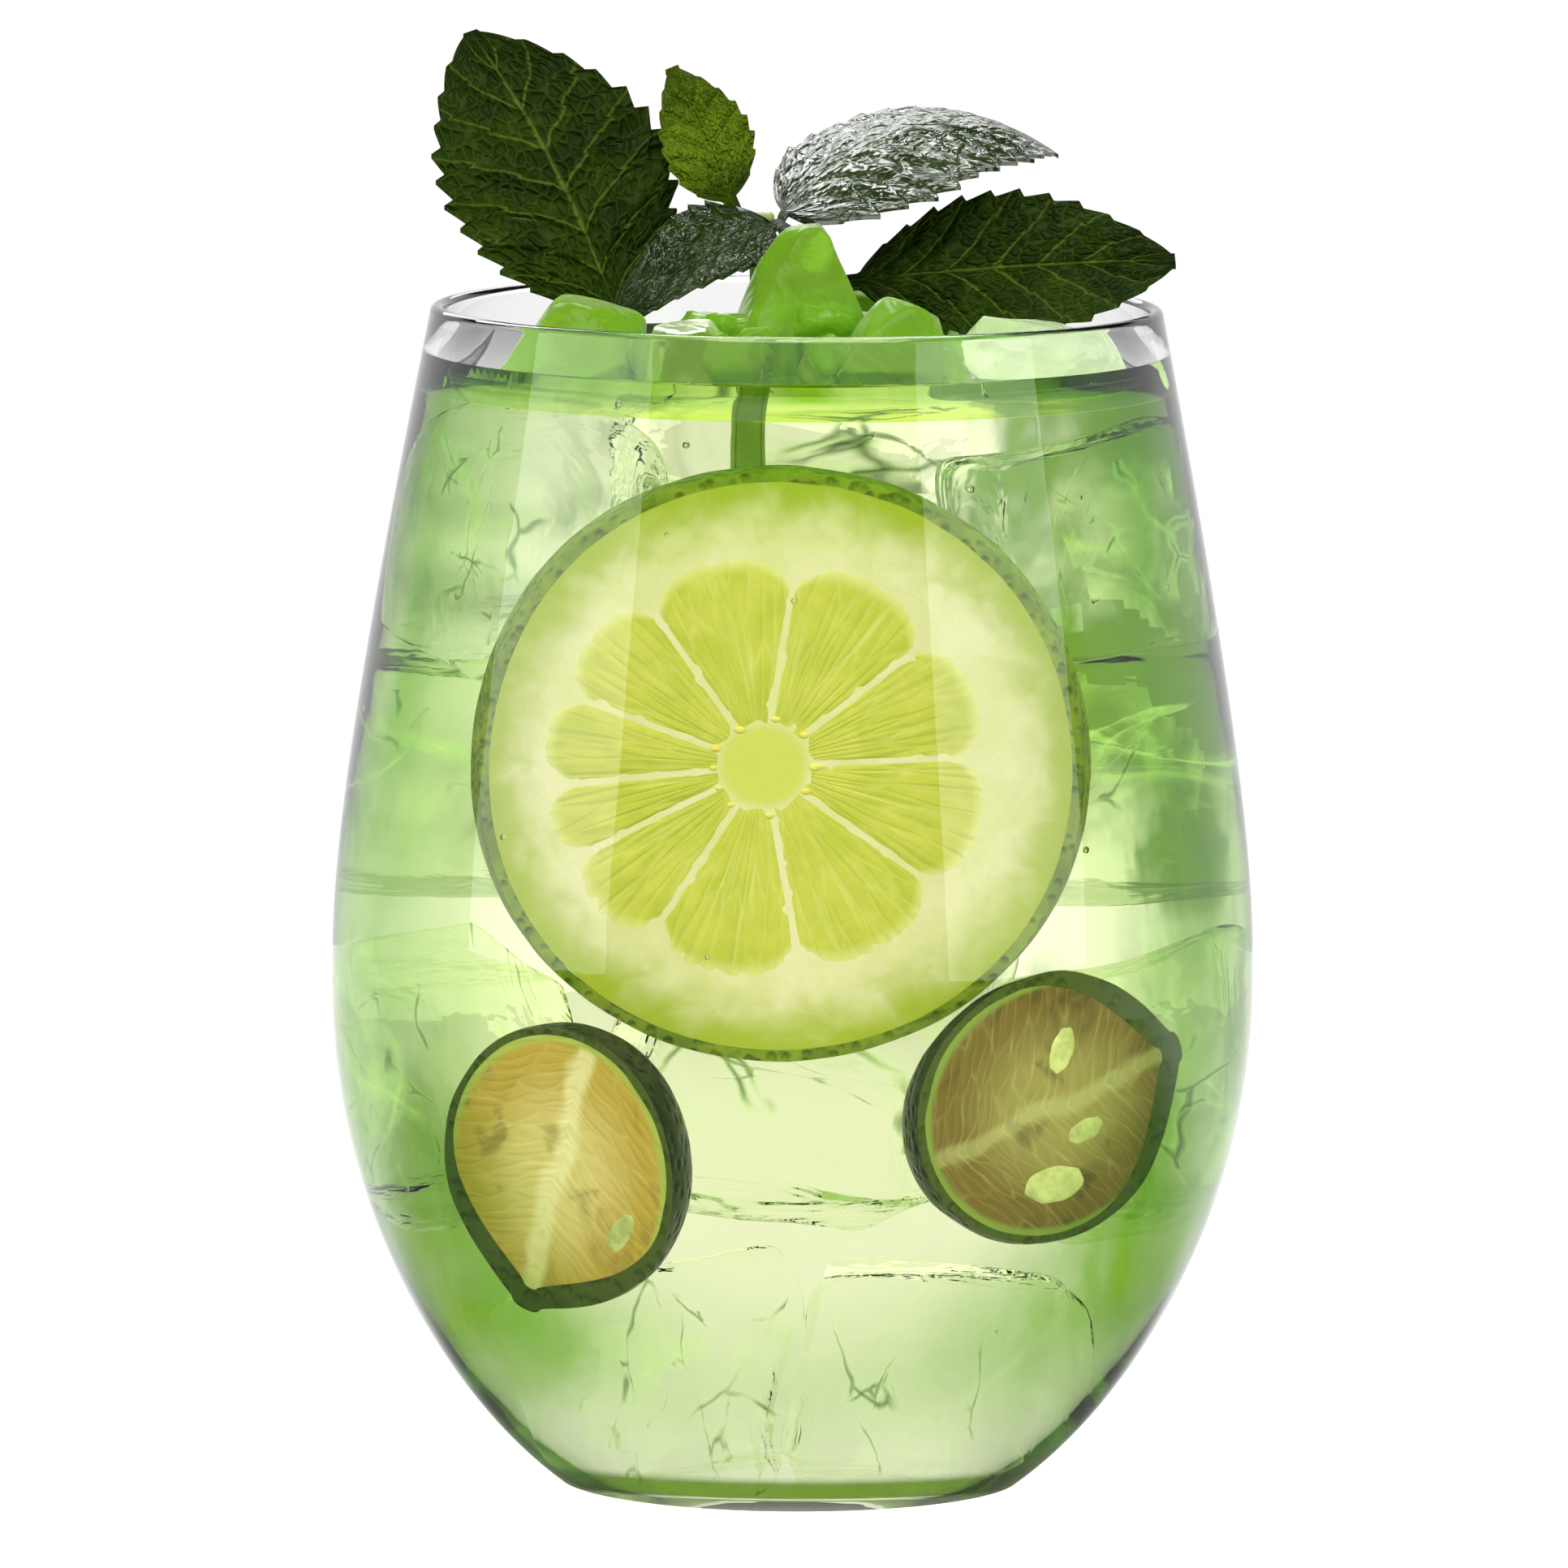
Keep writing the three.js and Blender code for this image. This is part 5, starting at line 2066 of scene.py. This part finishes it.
@dataclass
class MintSprig:
    """The sprig: its stem and its leaves.

    Args:
        rim: height of the glass's rim.
        leaves: the leaves.
        stem_round: rounding of the stem's edges.
    """

    rim: float
    leaves: tuple[MintLeaf, ...] = (
        MintLeaf("mint_leaf_large", -1, -2.2 * MM, (-18 * MM, 5 * MM, -1.4 * MM), (-0.33, 0.02, 0.94),
                 (0.12, -0.98, 0.1), 32 * MM, 20.7 * MM, 0.95, 12, 6, 22, -4 * MM),
        MintLeaf("mint_leaf_right", 1, 0.4 * MM, (6 * MM, 2.4 * MM, 2.4 * MM), (1, -0.02, 0.12),
                 (0.04, -0.88, 0.46), 32 * MM, 14.4 * MM, 0.92, 11, 8, 14),
        MintLeaf("mint_leaf_glossy", 1, 6.8 * MM, (-1.2 * MM, 2.4 * MM, 9.3 * MM), (0.64, 0.1, 0.76),
                 (-0.62, -0.5, 0.6), 33 * MM, 20.5 * MM, 0.62, 12, -14, 84, ripple=0.5 * MM),
        MintLeaf("mint_leaf_small", 1, 4.2 * MM, (-2.6 * MM, -1.2 * MM, 8.2 * MM), (-0.88, -0.3, -0.3),
                 (-0.18, -0.52, 0.83), 19 * MM, 12 * MM, 0.6, 9, 12, 30, ripple=0.5 * MM),
        MintLeaf("mint_leaf_tip", -1, 8.4 * MM, (-6.8 * MM, 3.4 * MM, 10.6 * MM), (-0.38, 0.06, 0.92),
                 (0.25, -0.95, 0.2), 14.2 * MM, 8.8 * MM, 0.75, 8, 10, 14, slot=Slot.YOUNG_LEAF,
                 ripple=0.3 * MM),
    )
    stem_round: float = 0.45 * MM

    def build(self, finishes: Mapping[str, Material], stem: Material) -> None:
        """Builds the sprig.

        Args:
            finishes: finish of each leaf by its node.
            stem: finish of the stem.
        """
        bm = cad_copy("mint_stem")
        join_flats(bm)
        bmesh.ops.bevel(bm, geom=list(bm.edges), offset=self.stem_round, segments=3, profile=0.5,
                        affect="EDGES", material=-1)
        settle(as_object(bm, "stem", [stem], 40), Body.SPRIG, ["mint_stem"])
        for leaf in self.leaves:
            leaf.build(node_centre("mint_stem"), self.rim, finishes[leaf.name])


# The studio


@dataclass(frozen=True)
class Softbox:
    """A soft lamp that faces the object.

    Args:
        name: its name.
        bearing: degrees to the right of the camera, seen from the object.
        distance: from the object's axis.
        height: of its middle.
        size: width and height.
        glow: its brightness, where 1 is white.
        aim: height that it faces.
    """

    name: str
    bearing: float
    distance: float
    height: float
    size: Point
    glow: float
    aim: float = 0.07

    def build(self) -> None:
        """Builds the lamp."""
        lamp = bpy.data.lights.new(self.name, "AREA")
        lamp.shape = "RECTANGLE"
        lamp.size, lamp.size_y = self.size
        lamp.energy = self.glow * math.pi * self.size[0] * self.size[1]
        thing = bpy.data.objects.new(self.name, lamp)
        turn = math.radians(self.bearing)
        spot = Vector((self.distance * math.sin(turn), -self.distance * math.cos(turn), self.height))
        facing = (Vector((0.0, 0.0, self.aim)) - spot).to_track_quat("-Z", "Y")
        thing.matrix_world = Matrix.LocRotScale(spot, facing, None)
        thing.visible_transmission = False
        bpy.context.scene.collection.objects.link(thing)


@dataclass
class Studio:
    """Paper floor, lamps, world and camera.

    Args:
        lamps: the soft lamps.
        floor_reach: how far the paper goes to each side.
        floor_drop: gap under the foot, so that the two surfaces stay apart.
        paper: colour of the paper.
        paper_glow: what is added to the paper where it is looked at.
        glow_through: share of it where the paper is seen through glass.
        glow_behind: where the paper behind the object starts to show in what shines, and shows fully.
        room_front: brightness of the room in front of the object.
        room_back: brightness of the room behind it.
        room_through: brightness of the room seen through glass.
        room_top: how steeply up the bright part of the room starts to end, and ends, 0 to 1.
        room_floor: how steeply down it ends, and starts to end.
        room_depth: how far to the front it is dim, and how far to the back it is bright.
        bounces: how often light is followed from surface to surface.
        eye: where the camera is.
        dip: degrees that it looks down.
        yaw: degrees that it looks aside.
        tilt: degrees that it is tilted.
        lens: focal length in millimetres on a sensor of 36.
    """

    lamps: tuple[Softbox, ...] = (
        Softbox("softbox_left", -66.5, 1.0, 0.30, (0.78, 0.62), 2.3),
        Softbox("softbox_right", 57.5, 1.0, 0.30, (0.74, 0.62), 2.3),
        Softbox("softbox_front", 4.0, 0.75, 1.0, (1.1, 0.6), 6.3),
        Softbox("softbox_top", 176.0, 0.5, 1.0, (0.6, 0.35), 8.0, 0.13),
        Softbox("softbox_leaf", -152.0, 0.85, 0.75, (0.42, 0.3), 9.0, 0.13),
        Softbox("softbox_back", -172.0, 0.7, 0.4, (0.5, 0.2), 2.6, 0.13),
    )
    floor_reach: float = 0.45
    floor_drop: float = 0.2 * MM
    paper: Colour = (0.12, 0.12, 0.12)
    paper_glow: float = 0.86
    glow_through: float = 1.22
    glow_behind: Point = (10 * MM, 80 * MM)
    room_front: float = 0.05
    room_back: float = 0.9
    room_through: float = 0.98
    room_top: Point = (0.3, 0.45)
    room_floor: Point = (-0.4, -0.02)
    room_depth: Point = (-0.5, 0.3)
    bounces: int = 24
    eye: Place = (0.0, -1.65, 0.262)
    dip: float = 6.566
    yaw: float = 0.0335
    tilt: float = 0.38
    lens: float = 382.0

    def _paper(self) -> Material:
        """The paper's material: pale, and white where it is looked at.

        Returns:
            The material.
        """
        material, graph, shader, output = new_material("paper")
        path = graph.add("ShaderNodeLightPath").outputs
        through = graph.times(path["Is Transmission Ray"], self.glow_through)
        seen = graph.math("ADD", through, path["Is Camera Ray"])
        depth = graph.split(graph.place())[1]
        behind = graph.times(path["Is Glossy Ray"], graph.span(depth, *self.glow_behind))
        strength = graph.times(graph.math("MAXIMUM", seen, behind), self.paper_glow)
        grain = graph.noise(graph.place(), 900.0, 2.0)
        graph.fill(shader, {"Base Color": self.paper, "Roughness": graph.span(grain, 0.0, 1.0, 0.85, 1.0)})
        glow = graph.add("ShaderNodeEmission", {"Color": (1.0, 1.0, 1.0), "Strength": strength})
        both = graph.add("ShaderNodeAddShader", {0: shader.outputs[0], 1: glow.outputs[0]})
        graph.feed(output.inputs["Surface"], both.outputs[0])
        return material

    def build_floor(self) -> None:
        """Builds the paper floor."""
        bm = bmesh.new()
        bmesh.ops.create_grid(bm, x_segments=1, y_segments=1, size=self.floor_reach)
        bmesh.ops.translate(bm, verts=bm.verts, vec=(0.0, 0.0, -self.floor_drop))
        as_object(bm, "paper_floor", [self._paper()])

    def build_world(self) -> None:
        """Builds the room: dim in front, lighter behind, white where the camera looks into it."""
        world = bpy.data.worlds.new("room")
        world.use_nodes = True
        graph = Graph(world.node_tree)
        back = world.node_tree.nodes["Background"]
        path = graph.add("ShaderNodeLightPath").outputs
        through = graph.times(path["Is Transmission Ray"], self.room_through)
        seen = graph.math("ADD", through, path["Is Camera Ray"])
        way = graph.split(graph.place("Generated"))
        lit = graph.times(graph.span(way[2], *self.room_top, 1.0, 0.0), graph.span(way[2], *self.room_floor))
        behind = graph.times(graph.span(way[1], *self.room_depth), lit)
        room = graph.span(behind, 0.0, 1.0, self.room_front, self.room_back)
        graph.fill(back, {"Color": (1.0, 1.0, 1.0), "Strength": graph.math("MAXIMUM", seen, room)})
        bpy.context.scene.world = world

    def build_camera(self) -> None:
        """Places the camera."""
        camera = bpy.data.cameras.new("camera")
        camera.sensor_width = 36.0
        camera.lens = self.lens
        camera.clip_end = 20.0
        thing = bpy.data.objects.new("camera", camera)
        turn = Matrix.Identity(4)
        for degrees, axis in ((self.yaw, "Z"), (90 - self.dip, "X"), (self.tilt, "Z")):
            turn = turn @ Matrix.Rotation(math.radians(degrees), 4, axis)
        thing.matrix_world = Matrix.Translation(self.eye) @ turn
        bpy.context.scene.collection.objects.link(thing)
        bpy.context.scene.camera = thing

    def build(self) -> None:
        """Builds the studio."""
        self.build_floor()
        self.build_world()
        for lamp in self.lamps:
            lamp.build()
        self.build_camera()
        scene = bpy.context.scene
        scene.view_settings.view_transform = "Standard"
        for kind in ("max_bounces", "transmission_bounces", "transparent_max_bounces"):
            setattr(scene.cycles, kind, self.bounces)


def main() -> None:
    """Builds the object and its studio."""
    logging.basicConfig(level=logging.INFO, format="%(name)s: %(message)s")
    effects = Effects()
    tumbler = Tumbler()
    drink = Drink(tumbler)
    tumbler.build(GLASS.build(effects), WET_GLASS.build(effects), UNDER_GLASS.build(effects), drink.top())
    drink.build(DRINK.build(effects), DRINK_SIDE.build(effects))
    drink.build_bubbles(BUBBLE.build(effects))
    Ice(drink.level).build(*(finish.build(effects) for finish in (ICE, GREEN_ICE, CRUSHED, PALE_CHIP, CRACK)))
    LimeSlice().build(*(finish.build(effects) for finish in (RIND, PITH, PULP, DOTS)))
    peel, seed = PEEL.build(effects), SEED.build(effects)
    LimeHalf(Side.LEFT, 202, 12, -35, 1).build(peel, FLESH.build(effects), seed)
    # The right half takes the flesh with painted shade.
    LimeHalf(Side.RIGHT, 71, -6, 32, 3).build(peel, FLESH_SHADED.build(effects), seed)
    leaf = LEAF.build(effects)
    leaves = {"mint_leaf_large": leaf, "mint_leaf_right": leaf, "mint_leaf_glossy": GLOSSY_LEAF.build(effects),
              "mint_leaf_small": SMALL_LEAF.build(effects), "mint_leaf_tip": YOUNG_LEAF.build(effects)}
    MintSprig(tumbler.height).build(leaves, STEM.build(effects))
    Studio().build()


if __name__ == "__main__":
    main()
